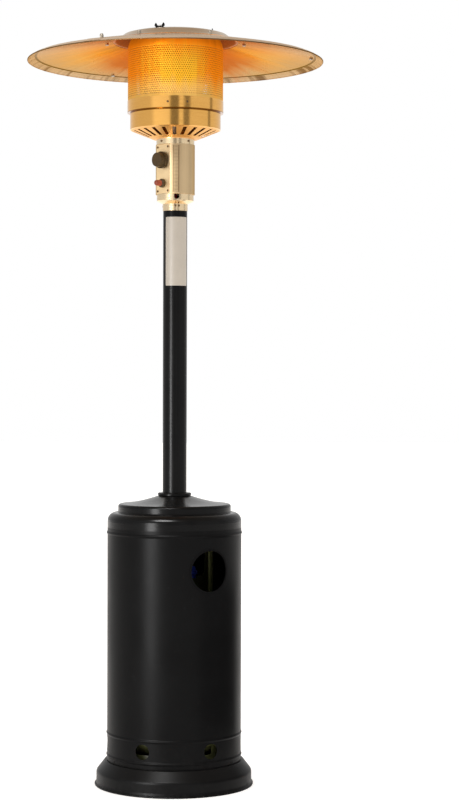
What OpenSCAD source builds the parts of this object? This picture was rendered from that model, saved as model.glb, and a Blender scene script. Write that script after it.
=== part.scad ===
// Gas patio heater: a tank housing that lifts off a gas bottle, a post, a burner head and a dish reflector.
// Millimetres. +Z is up, the front faces -Y, and the origin is on the floor under the post.
// Angles around the post start at the front and grow towards +X.

/* [Gas bottle] */
// Radius of the bottle
bottle_r = 150; // [140:1:158]
// Steel of the bottle
bottle_t = 3; // [2:0.5:4]
// Height of the bottle's straight side
bottle_side_h = 315; // [260:5:360]
// Height of each dished end
dome_h = 70; // [60:1:80]
// Height of the foot ring
foot_h = 104; // [90:1:120]
// Sheet of the foot ring and of the valve guard
guard_t = 3; // [2:0.5:4]
// Outer radius of the valve guard
guard_r = 107; // [100:1:115]
// Height of the valve guard
guard_h = 145; // [135:1:160]
// Half angle of the guard's open front
guard_open = 65; // [50:1:75]

/* [Bottle valve] */
// Height of the handwheel's axis above the bottle's top
wheel_rise = 65; // [58:1:72]
// Diameter of the handwheel
wheel_d = 47; // [40:1:52]
// Diameter of the handwheel's spindle
spindle_d = 8; // [6:0.5:10]
// Radius of the regulator's body
regulator_r = 22; // [18:1:24]
// Height of the regulator's body
regulator_h = 34; // [30:1:40]

/* [Base] */
// Height of the ledge that the housing stands on
base_h = 68; // [60:1:80]
// Depth of the tray that the bottle stands in
tray_depth = 24; // [15:1:30]
// Sheet of the base
base_t = 1.5; // [1:0.25:2.5]
// How far the skirt stands out from the housing
base_spread = 29; // [24:1:36]
// Radius of the rolled lip on the floor
lip_bead = 3; // [2:0.5:4]

/* [Frame] */
// Diameter of the frame's tube
leg_d = 19; // [16:1:22]
// Wall of the frame's tube
leg_t = 1.5; // [1:0.25:2.5]
// Bend radius of the legs, on the tube's axis
bend_r = 52; // [40:1:60]
// Radius of the hub plate and the post flange
hub_r = 58; // [54:1:64]
// Thickness of the hub plate and the post flange
hub_t = 4; // [3:0.5:6]
// Room for the hose between the guard and the frame
hose_room = 45; // [40:1:60]
// Bolt that holds the post flange and the feet
bolt_d = 8; // [6:1:10]

/* [Post] */
// Diameter of the post
post_d = 66; // [60:1:70]
// Wall of the post
post_t = 1.5; // [1:0.25:2]
// Length of the post
post_len = 853; // [700:1:950]

/* [Tank housing] */
// Sheet of the housing
housing_t = 1; // [0.8:0.1:1.5]
// Room between the legs and the housing
housing_room = 1.5; // [1.5:0.25:4]
// How far the beads stand out
bead_out = 2; // [1.5:0.25:3]
// Diameter of the vents
vent_d = 41; // [30:1:46]
// Height of the vents above the housing's edge
vent_rise = 46; // [40:1:52]
// Number of vents
vent_n = 6; // [4:1:8]
// Direction of the first vent
vent_at = 34; // [25:1:40]
// Diameter of the hand hole
hand_hole_d = 112; // [90:1:120]
// Place of the hand hole around the housing
hand_hole_at = 33; // [20:1:40]
// Radius of the lid's shoulder
shoulder_r = 24; // [18:1:28]
// How far the lid's step lies inside the housing
step_inset = 29; // [26:1:36]
// Height of the lid's step
step_h = 23; // [16:1:28]
// Rise of the lid's cone
cone_rise = 21; // [16:1:30]
// Flange radius of the post collar
collar_r = 46; // [44:1:52]

/* [Control head] */
// Length of the neck inside the post
plug_len = 40; // [25:1:60]
// Length of the neck that shows
neck_h = 19; // [12:1:30]
// Height of the neck's cone
neck_cone_h = 8; // [6:1:12]
// Radius of the lower collar
low_collar_r = 50.5; // [48:0.5:51]
// Height of the lower collar
low_collar_h = 18; // [14:1:24]
// Radius of the control shell
shell_r = 53.5; // [53:0.5:58]
// Height of the control shell
shell_h = 136; // [130:1:150]
// Sheet of the head's thin parts
head_t = 0.8; // [0.6:0.1:1.2]
// Distance of the control panel from the axis
panel_d = 46; // [44:0.5:48]
// Thickness of the control panel
panel_t = 1.5; // [1:0.25:2]
// Direction of the control panel
panel_at = -46; // [-60:1:-30]
// Height of the knob above the shell's foot
knob_rise = 92; // [88:1:98]
// Diameter of the knob
knob_d = 46; // [38:1:50]
// Depth of the knob
knob_depth = 19; // [15:1:24]
// How far the knob pushes in
knob_push = 4; // [2:0.5:5]
// Diameter of the valve stem
stem_d = 8; // [6:0.5:9]
// Height of the igniter above the shell's foot
igniter_rise = 29; // [24:1:34]
// Diameter of the igniter button
button_d = 17; // [13:0.5:18]
// How far the button pushes in
button_push = 6; // [3:0.5:8]
// Height of the collar under the burner pan
top_collar_h = 16; // [12:1:24]

/* [Burner] */
// Radius of the flat floor of the burner pan
pan_floor_r = 62; // [58:1:68]
// Radius of the burner cup
cup_r = 124; // [116:1:128]
// Rise of the slotted cone
pan_rise = 25; // [20:1:34]
// Height of the burner cup
cup_h = 46; // [40:1:60]
// Number of slots in the cone
slot_n = 24; // [18:1:28]
// Width of a slot
slot_w = 10; // [4:0.5:12]
// Radius of the emitter band
band_r = 131.5; // [128:0.5:138]
// Height of the emitter band
band_h = 32; // [28:1:44]
// Straight height of the emitter screen above the band
screen_h = 142; // [120:1:160]
// Height of the screen's taper
taper_h = 28; // [20:1:36]
// Radius of the emitter's top
top_r = 121; // [112:1:124]
// Holes around the screen
screen_cols = 32; // [24:1:44]
// Rows of holes
screen_rows = 7; // [5:1:9]
// Diameter of the holes in the screen
screen_hole_d = 10; // [6:0.5:12]
// Rim radius of the burner
burner_r = 82; // [74:1:88]

/* [Reflector] */
// Radius of the reflector
reflector_r = 405; // [360:1:450]
// Sheet of the reflector
reflector_t = 0.8; // [0.6:0.1:1.2]
// Width of the turned-down lip
lip_w = 21; // [15:1:30]
// Drop of the turned-down lip
lip_drop = 11; // [8:1:20]
// Slope of the dish
dish_slope = 11.2; // [9:0.2:14]
// Radius of the dome's foot
dome_r = 165; // [155:1:175]
// Rise of the dome
dome_rise = 21; // [16:1:28]
// Direction of the first seam
seam_at = 89; // [75:0.5:95]
// Direction of the first stud
stud_at = -24; // [-30:1:-18]
// Radius of the stud circle
stud_r = 100; // [90:1:104]
// Length of the spacers under the reflector
spacer_h = 12; // [8:1:20]

/* [Fits] */
// Gap where a moving piece rests
rest_gap = 0.3; // [0.2:0.1:0.5]
// Gap round the post in its collar
slide_gap = 0.5; // [0.4:0.1:0.8]
// Gap round stems and pins
pin_gap = 0.05; // [0.03:0.01:0.1]
// Gap between fixed sheets that fit into each other
seat_gap = 0.2; // [0.1:0.05:0.3]

/* [Hidden] */
$fn = 64;
black = "#222222";
gold = "#dca350";
steel = "#c8c4ba";
olive = "#7d8050";
brass = "#b08a4a";

// Radial stack from the bottle out to the lip
foot_r = bottle_r + seat_gap + guard_t;
tray_gap = 4.8;
tray_r = foot_r + tray_gap;
foot_edge = 4.5;
leg_reach = tray_r + foot_edge + leg_d / 2;
housing_in = leg_reach + leg_d / 2 + housing_room;
housing_r = housing_in + housing_t;
base_r = housing_r + base_spread;
skirt_bend = 14;
rim_bend = 4;
rim_r = housing_r + rim_bend;

// Vertical stack from the floor to the head
tray_z = base_h - tray_depth;
bottle_lap = 8;
bottle_z = tray_z + foot_h - bottle_lap;
bottle_top = bottle_z + bottle_side_h + dome_h;
function dome_z(r) = bottle_top - dome_h + dome_h * sqrt(1 - pow(r / bottle_r, 2));
guard_z = dome_z(guard_r - guard_t) + seat_gap;
guard_top = guard_z + guard_h;
wheel_z = bottle_top + wheel_rise;
arm_z = guard_top + hose_room + leg_d / 2;
hub_z = arm_z + leg_d / 2;
post_z = hub_z + hub_t;
head_z = post_z + post_len;
housing_z = base_h + rest_gap;
seam_z = arm_z;
shoulder_z = post_z + hub_t;
step_z = shoulder_z + shoulder_r;
step_r = housing_r - step_inset;
cone_z = step_z + step_h;
collar_bore = post_d / 2 + slide_gap;
lid_hole_r = collar_r - 6;
hand_hole_z = wheel_z + 7;
bolt_clear = 0.4;
bolt_ring = (post_d / 2 + hub_r) / 2 + 1.5;

// Heights of the head, from the top of the post
cone_foot = neck_h;
low_foot = cone_foot + neck_cone_h;
shell_foot = low_foot + low_collar_h;
shell_top = shell_foot + shell_h;
pan_z = shell_top + top_collar_h;
cup_z = pan_z + pan_rise;
band_z = cup_z + cup_h;
screen_z = band_z + head_t;
screen_r = band_r - head_t - seat_gap;
taper_z = band_z + band_h + screen_h;
top_z = taper_z + taper_h;
plate_t = 1.5;
dome_top = top_z + plate_t + spacer_h + reflector_t;
dome_foot = dome_top - dome_rise;
knob_z = shell_foot + knob_rise;
igniter_z = shell_foot + igniter_rise;
neck_r = post_d / 2 - post_t - seat_gap;
top_collar_r = shell_r - 1.5;
tube_r = 15;
sleeve_r = post_d / 2 + 1.2;
screw_r = 2;
screw_head_r = 3;
screw_head_h = 1.2;
screw_head_gap = 0.1;

// Dish of the reflector: the height of the sheet's top side at a radius
fold_r = reflector_r - lip_w;
function dish_z(r) = dome_foot - reflector_t + (dome_r - r) * tan(dish_slope);
seam_half = 3.5;
lap_w = 40;
lap_r = dome_r + lap_w;
inner_bolt_out = 23;
inner_bolt_r = dome_r + inner_bolt_out;
outer_bolt_in = 12;
outer_bolt_r = fold_r - outer_bolt_in;

// Gas hose: its loop beside the valve, with heights from the handwheel's axis, then its way up the post
hose_d = 10.5;
hose_sides = 8;
hose_steps = 2;
hose_loop = [
    [40, 33, 24], [40, 33, 42], [39, 33, 60], [33, 33, 80], [19, 33, 93], [0, 33, 98], [-19, 33, 93],
    [-33, 33, 80], [-39, 32, 60], [-40, 32, 40], [-40, 31, 20], [-40, 24, 0], [-40, 10, -13], [-40, -8, -18],
    [-40, -26, -13], [-40, -40, 0], [-40, -47, 20], [-40, -47, 40], [-38, -44, 60], [-32, -36, 80],
    [-21, -23, 100], [-10, -10, 120], [-3, -3, 140], [0, 0, 165]
];
hose_straight = wheel_z + 210;
hose_rise = 68.4;
hose_end = [0, 0, head_z + hose_rise];
hose_spans = 9;
hose_route = concat(
    [for (p = hose_loop) p + [0, 0, wheel_z]],
    [for (i = [0:hose_spans]) [0, 0, hose_straight + (hose_end[2] - hose_straight) * i / hose_spans]]
);

// Points of an arc round c
function arc(c, r, a0, a1, n) = [for (i = [0:n]) let (a = a0 + (a1 - a0) * i / n) c + r * [cos(a), sin(a)]];

// Direction of the step after point i of a path, and the normal on its left
function step_dir(p, i) = (p[i + 1] - p[i]) / norm(p[i + 1] - p[i]);
function left_of(d) = [-d[1], d[0]];
function mitre(a, b) = (a + b) / (1 + a * b);

// Outline of a sheet of thickness t on the left of a path, which stays on the axis where the path meets it
function sheet(p, t) = let (last = len(p) - 1) concat(p, [
    for (i = [last:-1:0])
        let (a = left_of(step_dir(p, max(i - 1, 0))), b = left_of(step_dir(p, min(i, last - 1))))
            p[i] + t * (p[i][0] == 0 ? [0, 1 / a[1]] : mitre(a, b))
]);

// A rounded bead that stands out from a wall of radius r at height z
function bead(r, z) = [for (i = [-3:3]) [r + bead_out * (1 + cos(i * 60)) / 2, z + i * 1.8]];

// A sheet turned round the axis
module spun(path, t) {
    rotate_extrude() polygon(sheet(path, t));
}

// Copies of a piece round the axis
module around(n, start = 0) {
    for (i = [0:n - 1]) rotate([0, 0, start + i * 360 / n]) children();
}

// A rod that points out of the front, with its foot at y = -from
module front_rod(r, from, to, z = 0) {
    translate([0, -from, z]) rotate([90, 0, 0]) cylinder(r = r, h = to - from);
}

// Places a piece on the control panel: its Z points out of the panel and its Y points up
module on_panel(z) {
    rotate([0, 0, panel_at]) translate([0, 0, head_z + z]) rotate([90, 0, 0]) children();
}

// A hexagon bolt with its nut, head down at z = 0, through a stack of the given height
module bolt(d, stack) {
    translate([0, 0, stack]) cylinder(r = d * 0.9, h = d * 0.6, $fn = 6);
    translate([0, 0, -d * 0.7]) cylinder(r = d / 2, h = stack + d * 0.7);
    translate([0, 0, -d * 0.6]) cylinder(r = d * 0.9, h = d * 0.6, $fn = 6);
}

// Base

// Line that touches the skirt's bend and the rim's bend on the outside
skirt_c = [base_r - skirt_bend, base_h / 2];
rim_c = [rim_r, base_h - rim_bend];
slope_d = rim_c - skirt_c;
slope_a = atan2(slope_d[1], slope_d[0]) - acos((skirt_bend - rim_bend) / norm(slope_d));
// How much the lip is flattened where it stands on the floor, and the circle that it is rolled round
lip_flat = 0.4;
lip_r = base_r + lip_bead * 0.6;

module base_shell() {
    path = concat(
        [[lip_r, lip_bead * 1.5], [base_r, lip_bead * 4]],
        arc(skirt_c, skirt_bend, 0, slope_a, 5),
        arc(rim_c, rim_bend, slope_a, 90, 4),
        arc([tray_r + rim_bend, base_h - rim_bend], rim_bend, 90, 180, 4),
        arc([tray_r - rim_bend, tray_z + rim_bend], rim_bend, 0, -90, 4),
        [[0, tray_z]]
    );
    color(black) difference() {
        union() {
            spun(path, base_t);
            rotate_extrude() translate([lip_r, lip_bead - lip_flat]) circle(r = lip_bead);
        }
        translate([0, 0, -lip_bead]) cylinder(r = base_r * 2, h = lip_bead);
        foot_bolt_places() cylinder(r = bolt_d / 2 + bolt_clear, h = base_t * 4, center = true);
    }
}

// The legs stand to the left, right and rear, each on a curved foot that is bolted to the ledge
leg_turns = [-90, 90, 180];
foot_t = 3;
foot_half = 9.5;
foot_bolt_at = 6.6;
module leg_feet() {
    color(black) difference() {
        for (a = leg_turns) rotate([0, 0, a - 90 - foot_half]) translate([0, 0, base_h])
            rotate_extrude(angle = 2 * foot_half) translate([leg_reach - leg_d / 2, 0])
                square([leg_d, foot_t]);
        foot_bolt_places() cylinder(r = bolt_d / 2 + bolt_clear, h = foot_t * 4, center = true);
    }
}

module foot_bolt_places() {
    for (a = leg_turns, side = [-1, 1]) rotate([0, 0, a + side * foot_bolt_at])
        translate([0, -leg_reach, base_h]) children();
}

module foot_bolts() {
    color(steel) foot_bolt_places() translate([0, 0, -base_t]) bolt(bolt_d, foot_t + base_t);
}

// Frame

arm_in = bolt_ring - 17;
module tube_ring() {
    difference() {
        circle(d = leg_d);
        circle(d = leg_d - 2 * leg_t);
    }
}

// One leg, drawn at the front: an upright tube, a bend and an arm that runs in under the hub
module leg() {
    upright = arm_z - bend_r - base_h - foot_t;
    color(black) translate([0, -leg_reach, 0]) {
        translate([0, 0, base_h + foot_t]) linear_extrude(upright) tube_ring();
        translate([0, bend_r, arm_z - bend_r]) rotate([90, 0, -90]) rotate_extrude(angle = 90)
            translate([bend_r, 0]) tube_ring();
        translate([0, bend_r, arm_z]) rotate([-90, 0, 0])
            linear_extrude(leg_reach - bend_r - arm_in) tube_ring();
    }
}

module left_leg() {
    rotate([0, 0, -90]) leg();
}

module right_leg() {
    rotate([0, 0, 90]) leg();
}

module rear_leg() {
    rotate([0, 0, 180]) leg();
}

hose_hole_r = 20;
module flange_bolt_places() {
    around(4, 45) translate([0, -bolt_ring, hub_z]) children();
}

module hub_plate() {
    color(black) difference() {
        translate([0, 0, hub_z]) cylinder(r = hub_r, h = hub_t);
        translate([0, 0, hub_z - 1]) cylinder(r = hose_hole_r, h = hub_t + 2);
        flange_bolt_places() cylinder(r = bolt_d / 2 + bolt_clear, h = hub_t * 3, center = true);
    }
}

module post_flange() {
    color(black) difference() {
        translate([0, 0, post_z]) cylinder(r = hub_r, h = hub_t);
        translate([0, 0, post_z - 1]) cylinder(r = post_d / 2, h = hub_t + 2);
        flange_bolt_places() cylinder(r = bolt_d / 2 + bolt_clear, h = hub_t * 5, center = true);
    }
}

module flange_bolts() {
    color(steel) flange_bolt_places() bolt(bolt_d, hub_t * 2);
}

module post() {
    color(black) translate([0, 0, post_z]) difference() {
        cylinder(d = post_d, h = post_len);
        translate([0, 0, -1]) cylinder(d = post_d - 2 * post_t, h = post_len + 2);
    }
}

// Gas bottle

// Points of a dished end from the axis to the side, or back with a negative height
function dish(z, h) = [for (i = [0:8]) [bottle_r * sin(i * 90 / 8), z - h * cos(i * 90 / 8)]];
function reversed(p) = [for (i = [len(p) - 1:-1:0]) p[i]];

boss_r = 24;
boss_h = 6;
weld_z = bottle_z + bottle_side_h / 2;
weld = 1;
module gas_bottle() {
    path = concat(
        dish(bottle_z, dome_h),
        [for (i = [-1:1]) [bottle_r + weld * (1 - abs(i)), weld_z + 4 * i]],
        reversed(dish(bottle_z + bottle_side_h, -dome_h))
    );
    color(olive) union() {
        spun(path, bottle_t);
        translate([0, 0, bottle_top - bottle_t]) cylinder(r = boss_r, h = bottle_t + boss_h);
    }
}

foot_slot = [66, 24];
module foot_ring() {
    color(olive) difference() {
        translate([0, 0, tray_z]) rotate_extrude() translate([bottle_r + seat_gap, 0])
            square([guard_t, foot_h]);
        around(6, 30) translate([-foot_slot[0] / 2, -foot_r - 1, tray_z + foot_h * 0.54])
            cube([foot_slot[0], guard_t * 6, foot_slot[1]]);
    }
}

// A block with round upright edges, for cutting a window through the rear of the guard
module window(w, h, r, depth) {
    rotate([-90, 0, 0]) {
        translate([-w / 2 + r, -h / 2, 0]) cube([w - 2 * r, h, depth]);
        translate([-w / 2, -h / 2 + r, 0]) cube([w, h - 2 * r, depth]);
        for (x = [-1, 1], y = [-1, 1])
            translate([x * (w / 2 - r), y * (h / 2 - r), 0]) cylinder(r = r, h = depth);
    }
}

window_h = 76;
tab_h = 26;
tab_half = 34;
module valve_guard() {
    window_w = guard_r * 1.5;
    color(olive) union() {
        difference() {
            rotate([0, 0, guard_open - 90]) rotate_extrude(angle = 360 - 2 * guard_open) union() {
                translate([guard_r - guard_t, guard_z]) square([guard_t, guard_h]);
                translate([guard_r - guard_t / 2, guard_top]) circle(r = guard_t);
            }
            translate([0, 0, guard_top - window_h / 2 - 12]) window(window_w, window_h, 18, guard_r + 10);
        }
        rotate([0, 0, 90 - tab_half]) rotate_extrude(angle = 2 * tab_half)
            translate([guard_r - 2 * guard_t, guard_top - tab_h]) square([guard_t, tab_h]);
    }
}

valve_r = 13;
valve_hex_r = 17;
valve_hex_h = 16;
outlet_at = atan2(hose_route[0][0], -hose_route[0][1]);
outlet_z = wheel_z - 12;
outlet_r = 9;
nut_len = 12;
nut_r = 15;
reg_reach = norm([hose_route[0][0], hose_route[0][1]]);
outlet_len = reg_reach - regulator_r - nut_len;
barrel_len = 38;
barrel_r = 10;
spindle_in = 20;
valve_foot = bottle_top + boss_h;
valve_top = wheel_z + 24;
module bottle_valve() {
    color(brass) difference() {
        union() {
            translate([0, 0, valve_foot]) cylinder(r = valve_hex_r, h = valve_hex_h, $fn = 6);
            translate([0, 0, valve_foot]) cylinder(r = valve_r, h = valve_top - valve_foot);
            front_rod(barrel_r, 0, barrel_len, wheel_z);
            rotate([0, 0, outlet_at]) front_rod(outlet_r, 0, outlet_len, outlet_z);
        }
        front_rod(spindle_d / 2 + pin_gap, spindle_in, barrel_len + 1, wheel_z);
    }
}

wheel_t = 16;
wheel_gap = 1;
wheel_lobes = 12;
module handwheel() {
    front = barrel_len + wheel_gap;
    color("#1e32c8") union() {
        difference() {
            front_rod(wheel_d / 2, front, front + wheel_t, wheel_z);
            translate([0, 0, wheel_z]) rotate([90, 0, 0]) for (i = [0:wheel_lobes - 1])
                rotate([0, 0, i * 360 / wheel_lobes]) translate([wheel_d / 2 + 1.5, 0, front - 1])
                    cylinder(r = 4, h = wheel_t + 2);
            front_rod(wheel_d / 4, front + wheel_t - 4, front + wheel_t + 1, wheel_z);
        }
        front_rod(spindle_d / 2, spindle_in + 1, front + wheel_t - 2, wheel_z);
    }
}

cap_h = 20;
cap_r = 12;
cap_wing = 27;
module valve_cap() {
    color(brass) translate([0, 0, valve_top]) {
        cylinder(r = cap_r, h = cap_h);
        translate([-cap_wing, -5, cap_h * 0.35]) cube([cap_wing * 2, 10, cap_h * 0.5]);
        for (x = [-cap_wing, cap_wing]) translate([x, 0, cap_h * 0.35]) cylinder(r = 6, h = cap_h * 0.5);
    }
}

// The regulator hangs on the valve's outlet behind the handwheel
nozzle_r = 5;
ferrule_r = 8;
ferrule_len = 22;
reg_z = outlet_z;
nozzle_top = hose_route[0][2];
module regulator() {
    profile = [
        [0, -0.5], [0.8, -0.5], [0.86, -0.4], [0.86, -0.2], [1, -0.15],
        [1, 0.15], [0.86, 0.2], [0.72, 0.5], [0, 0.5]
    ];
    color("#28389a") translate([hose_route[0][0], hose_route[0][1], 0]) {
        translate([0, 0, reg_z]) rotate_extrude()
            polygon([for (p = profile) [p[0] * regulator_r, p[1] * regulator_h]]);
        translate([0, 0, reg_z]) cylinder(r = nozzle_r, h = nozzle_top - reg_z);
    }
}

module union_nut() {
    color(brass) rotate([0, 0, outlet_at]) translate([0, -outlet_len, outlet_z]) rotate([90, 0, 0])
        cylinder(r = nut_r, h = nut_len, $fn = 6);
}

// Gas hose: a smooth curve through the route's points, with a ring of points at each step
function along(p, i, t) = let (
    a = p[max(i - 1, 0)], b = p[i], c = p[min(i + 1, len(p) - 1)], d = p[min(i + 2, len(p) - 1)]
) 0.5 * (2 * b + (c - a) * t + (2 * a - 5 * b + 4 * c - d) * t * t + (3 * b - a - 3 * c + d) * t * t * t);
hose_line = concat(
    [for (i = [0:len(hose_route) - 2], s = [0:hose_steps - 1]) along(hose_route, i, s / hose_steps)],
    [hose_end]
);
function line_dir(p, i) = let (v = p[min(i + 1, len(p) - 1)] - p[max(i - 1, 0)]) v / norm(v);

// Carries a sideways vector along the line without twist
function carried(v, d) = let (w = v - (v * d) * d) w / norm(w);
function sides_of(p, i, v) = i == len(p) ? [] :
    let (w = carried(v, line_dir(p, i))) concat([w], sides_of(p, i + 1, w));
hose_sideways = sides_of(hose_line, 0, [1, 0, 0]);

module gas_hose() {
    n = hose_sides;
    rings = len(hose_line);
    points = [
        for (i = [0:rings - 1], k = [0:n - 1])
            let (u = hose_sideways[i], w = cross(line_dir(hose_line, i), u))
                hose_line[i] + hose_d / 2 * (cos(k * 360 / n) * u + sin(k * 360 / n) * w)
    ];
    walls = [
        for (i = [0:rings - 2], k = [0:n - 1], half = [0, 1])
            let (a = i * n + k, b = i * n + (k + 1) % n) half == 0 ? [a, a + n, b] : [b, a + n, b + n]
    ];
    foot = [for (k = [1:n - 2]) [0, k, k + 1]];
    far = [for (k = [1:n - 2]) [0, k + 1, k] + (rings - 1) * n * [1, 1, 1]];
    color("#b4141e") polyhedron(points, concat(walls, foot, far));
}

// Crimped ferrules where the hose meets the regulator and the gas valve
module ferrule() {
    difference() {
        cylinder(r = ferrule_r, h = ferrule_len);
        translate([0, 0, -1]) cylinder(r = hose_d / 2 + seat_gap, h = ferrule_len + 2);
    }
}

module hose_ferrules() {
    color(steel) {
        translate([hose_route[0][0], hose_route[0][1], reg_z + regulator_h / 2 + 1]) ferrule();
        translate([0, 0, hose_end[2] - ferrule_len + 6]) ferrule();
    }
}

// Tank housing, with three small holes for the screws that lock it

low_bead_rise = 15.5;
high_bead_drop = 14;
vent_bead_drop = 17;
lock_hole_r = 2.5;
lock_hole_rise = 6;
module tank_housing() {
    path = concat(
        [[housing_r, housing_z]],
        bead(housing_r, housing_z + low_bead_rise),
        bead(housing_r, housing_z + 2 * vent_rise - vent_bead_drop),
        bead(housing_r, seam_z - high_bead_drop),
        [[housing_r, seam_z]]
    );
    color(black) difference() {
        spun(path, housing_t);
        around(vent_n, vent_at) front_rod(vent_d / 2, housing_in / 2, housing_r + 5, housing_z + vent_rise);
        around(3, 60) front_rod(lock_hole_r, housing_in / 2, housing_r + 5, housing_z + lock_hole_rise);
        rotate([0, 0, hand_hole_at]) front_rod(hand_hole_d / 2, housing_in / 2, housing_r + 5, hand_hole_z);
    }
}

// Edge trim of the hand hole: a ring that grips the sheet on both sides
trim_w = 3.5;
trim_t = 1.4;
module hand_hole_trim() {
    color("#141414") rotate([0, 0, hand_hole_at]) difference() {
        intersection() {
            front_rod(hand_hole_d / 2 + trim_w, housing_in / 2, housing_r + 20, hand_hole_z);
            translate([0, 0, hand_hole_z - hand_hole_d]) difference() {
                cylinder(r = housing_r + trim_t, h = hand_hole_d * 2);
                translate([0, 0, -1]) cylinder(r = housing_in - trim_t, h = hand_hole_d * 2 + 2);
            }
        }
        front_rod(hand_hole_d / 2 - trim_t, housing_in / 3, housing_r + 30, hand_hole_z);
        difference() {
            translate([0, 0, hand_hole_z - hand_hole_d]) cylinder(r = housing_r, h = hand_hole_d * 2);
            translate([0, 0, hand_hole_z - hand_hole_d - 1])
                cylinder(r = housing_in, h = hand_hole_d * 2 + 2);
            front_rod(hand_hole_d / 2, housing_in / 3, housing_r + 30, hand_hole_z);
        }
    }
}

// Height of the lid's cone, which steepens towards the post
cone_out = step_r - 8;
cone_in = collar_r + 1;
function cone_at(r) = cone_z + cone_rise * pow(max(cone_out - r, 0) / (cone_out - cone_in), 1.6);

module housing_lid() {
    spigot_r = housing_in - seat_gap;
    path = concat(
        [[spigot_r, seam_z - 8], [spigot_r, seam_z + seat_gap], [housing_r, seam_z + seat_gap]],
        arc([housing_r - shoulder_r, shoulder_z], shoulder_r, 0, 90, 8),
        arc([step_r + 3, step_z + 3], 3, -90, -180, 3),
        arc([step_r - 8, cone_z - 8], 8, 0, 80, 5),
        [for (i = [1:8]) let (r = cone_out + (lid_hole_r - cone_out) * i / 8) [r, cone_at(r)]]
    );
    color(black) spun(path, housing_t);
}

module post_collar() {
    seat = cone_at(lid_hole_r);
    color(black) rotate_extrude() polygon(concat(
        [
            [collar_bore, seat - 8], [lid_hole_r - seat_gap, seat - 8],
            [lid_hole_r - seat_gap, seat], [collar_r, seat]
        ],
        arc([collar_r - 4, seat + 3], 4, 0, 90, 4),
        [[collar_bore, seat + 7]]
    ));
}

// Control head

// The neck plugs into the post, rests on its rim and widens to a collar with a notch in its upper edge
rim_w = 8;
notch_at = 6;
notch_r = 7;
notch_h = 15;
module head_neck() {
    path = [
        [neck_r, -plug_len], [neck_r, seat_gap], [sleeve_r, seat_gap], [sleeve_r, cone_foot],
        [low_collar_r - 2, low_foot - 1], [low_collar_r, low_foot + 1], [low_collar_r, shell_foot],
        [low_collar_r - rim_w, shell_foot]
    ];
    color(steel) difference() {
        translate([0, 0, head_z]) spun(path, head_t);
        neck_screw_places() front_rod(screw_r + seat_gap, neck_r / 2, sleeve_r + 2);
        rotate([0, 0, notch_at]) translate([0, 0, head_z + shell_foot]) {
            front_rod(notch_r, low_collar_r - rim_w / 2, low_collar_r + 2, notch_r - notch_h);
            translate([-notch_r, -low_collar_r - 2, notch_r - notch_h])
                cube([2 * notch_r, rim_w / 2 + 2, notch_h]);
        }
    }
}

// Pairs of screws that hold the neck, and single ones in the top collar
screw_tip = 3;
module neck_screw_places() {
    translate([0, 0, head_z + neck_h * 0.7]) around(3, 3) for (a = [0, 15]) rotate([0, 0, a]) children();
}

module collar_screw_places() {
    translate([0, 0, head_z + shell_top + top_collar_h / 2]) around(4, 45) children();
}

// A screw through a sheet of radius r, with its head outside
module screw_through(r) {
    front_rod(screw_r, r - head_t - screw_tip, r + screw_head_h);
    front_rod(screw_head_r, r + screw_head_gap, r + screw_head_h);
}

module neck_screws() {
    color(steel) neck_screw_places() {
        screw_through(sleeve_r);
    }
    color(steel) collar_screw_places() {
        screw_through(top_collar_r);
    }
}

// The shell is cut off flat where the panel closes it, and its rims lie on the two collars
shell_rim = 5;
module control_shell() {
    color("#cfa96f") translate([0, 0, head_z]) difference() {
        spun([
            [panel_d - shell_rim, shell_foot], [shell_r, shell_foot], [shell_r, shell_top],
            [panel_d - shell_rim, shell_top]
        ], head_t);
        rotate([0, 0, panel_at]) translate([-shell_r, -shell_r * 2, shell_foot - 1])
            cube([shell_r * 2, shell_r * 2 - panel_d, shell_h + 2]);
    }
}

panel_half = sqrt(pow(shell_r - head_t, 2) - pow(panel_d, 2)) - seat_gap;
stem_hole_r = 7;
panel_screw_r = 1.5;
panel_screw_up = 8;
panel_screw_in = 5;
module control_panel() {
    h = shell_h - 2 * head_t - 2 * seat_gap;
    color("#e6c89b") difference() {
        rotate([0, 0, panel_at]) translate([-panel_half, -panel_d, head_z + shell_foot + head_t + seat_gap])
            cube([panel_half * 2, panel_t, h]);
        on_panel(knob_z) cylinder(r = stem_hole_r, h = panel_d * 2);
        on_panel(igniter_z) cylinder(r = igniter_r + seat_gap, h = panel_d * 2);
        panel_screw_places() cylinder(r = panel_screw_r + seat_gap / 2, h = panel_d * 2, center = true);
    }
}

module panel_screw_places() {
    for (x = [-1, 1], z = [panel_screw_up, shell_h - panel_screw_up])
        on_panel(shell_foot + z) translate([x * (panel_half - panel_screw_in), 0, 0]) children();
}

module panel_screws() {
    color(steel) panel_screw_places() {
        translate([0, 0, panel_d - panel_t - screw_tip]) cylinder(r = panel_screw_r, h = panel_t + screw_tip);
        translate([0, 0, panel_d]) cylinder(r = screw_head_r, h = screw_head_h);
    }
}

// Gas valve: an upright body on the axis with a barrel that bolts to the back of the panel
valve_body_r = 11;
valve_body_h = 50;
valve_barrel_r = 13;
plunger_r = 6;
plunger_len = 8;
plunger_in = 26;
stem_in = plunger_in + 3;
stem_tip_r = 3;
bore_end = plunger_in + plunger_len + 2;
valve_low = knob_z - valve_body_h / 2;
module gas_valve() {
    back = panel_d - panel_t;
    color(brass) difference() {
        union() {
            translate([0, 0, head_z + valve_low]) cylinder(r = valve_body_r, h = valve_body_h);
            on_panel(knob_z) cylinder(r = valve_barrel_r, h = back);
            translate([0, 0, hose_end[2]])
                cylinder(r = nozzle_r - 1, h = head_z + valve_low - hose_end[2] + 1);
        }
        on_panel(knob_z) translate([0, 0, plunger_in - knob_push - 2])
            cylinder(r = plunger_r + pin_gap, h = bore_end - plunger_in + knob_push + 2);
        on_panel(knob_z) cylinder(r = stem_d / 2 + pin_gap, h = panel_d);
    }
}

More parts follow.
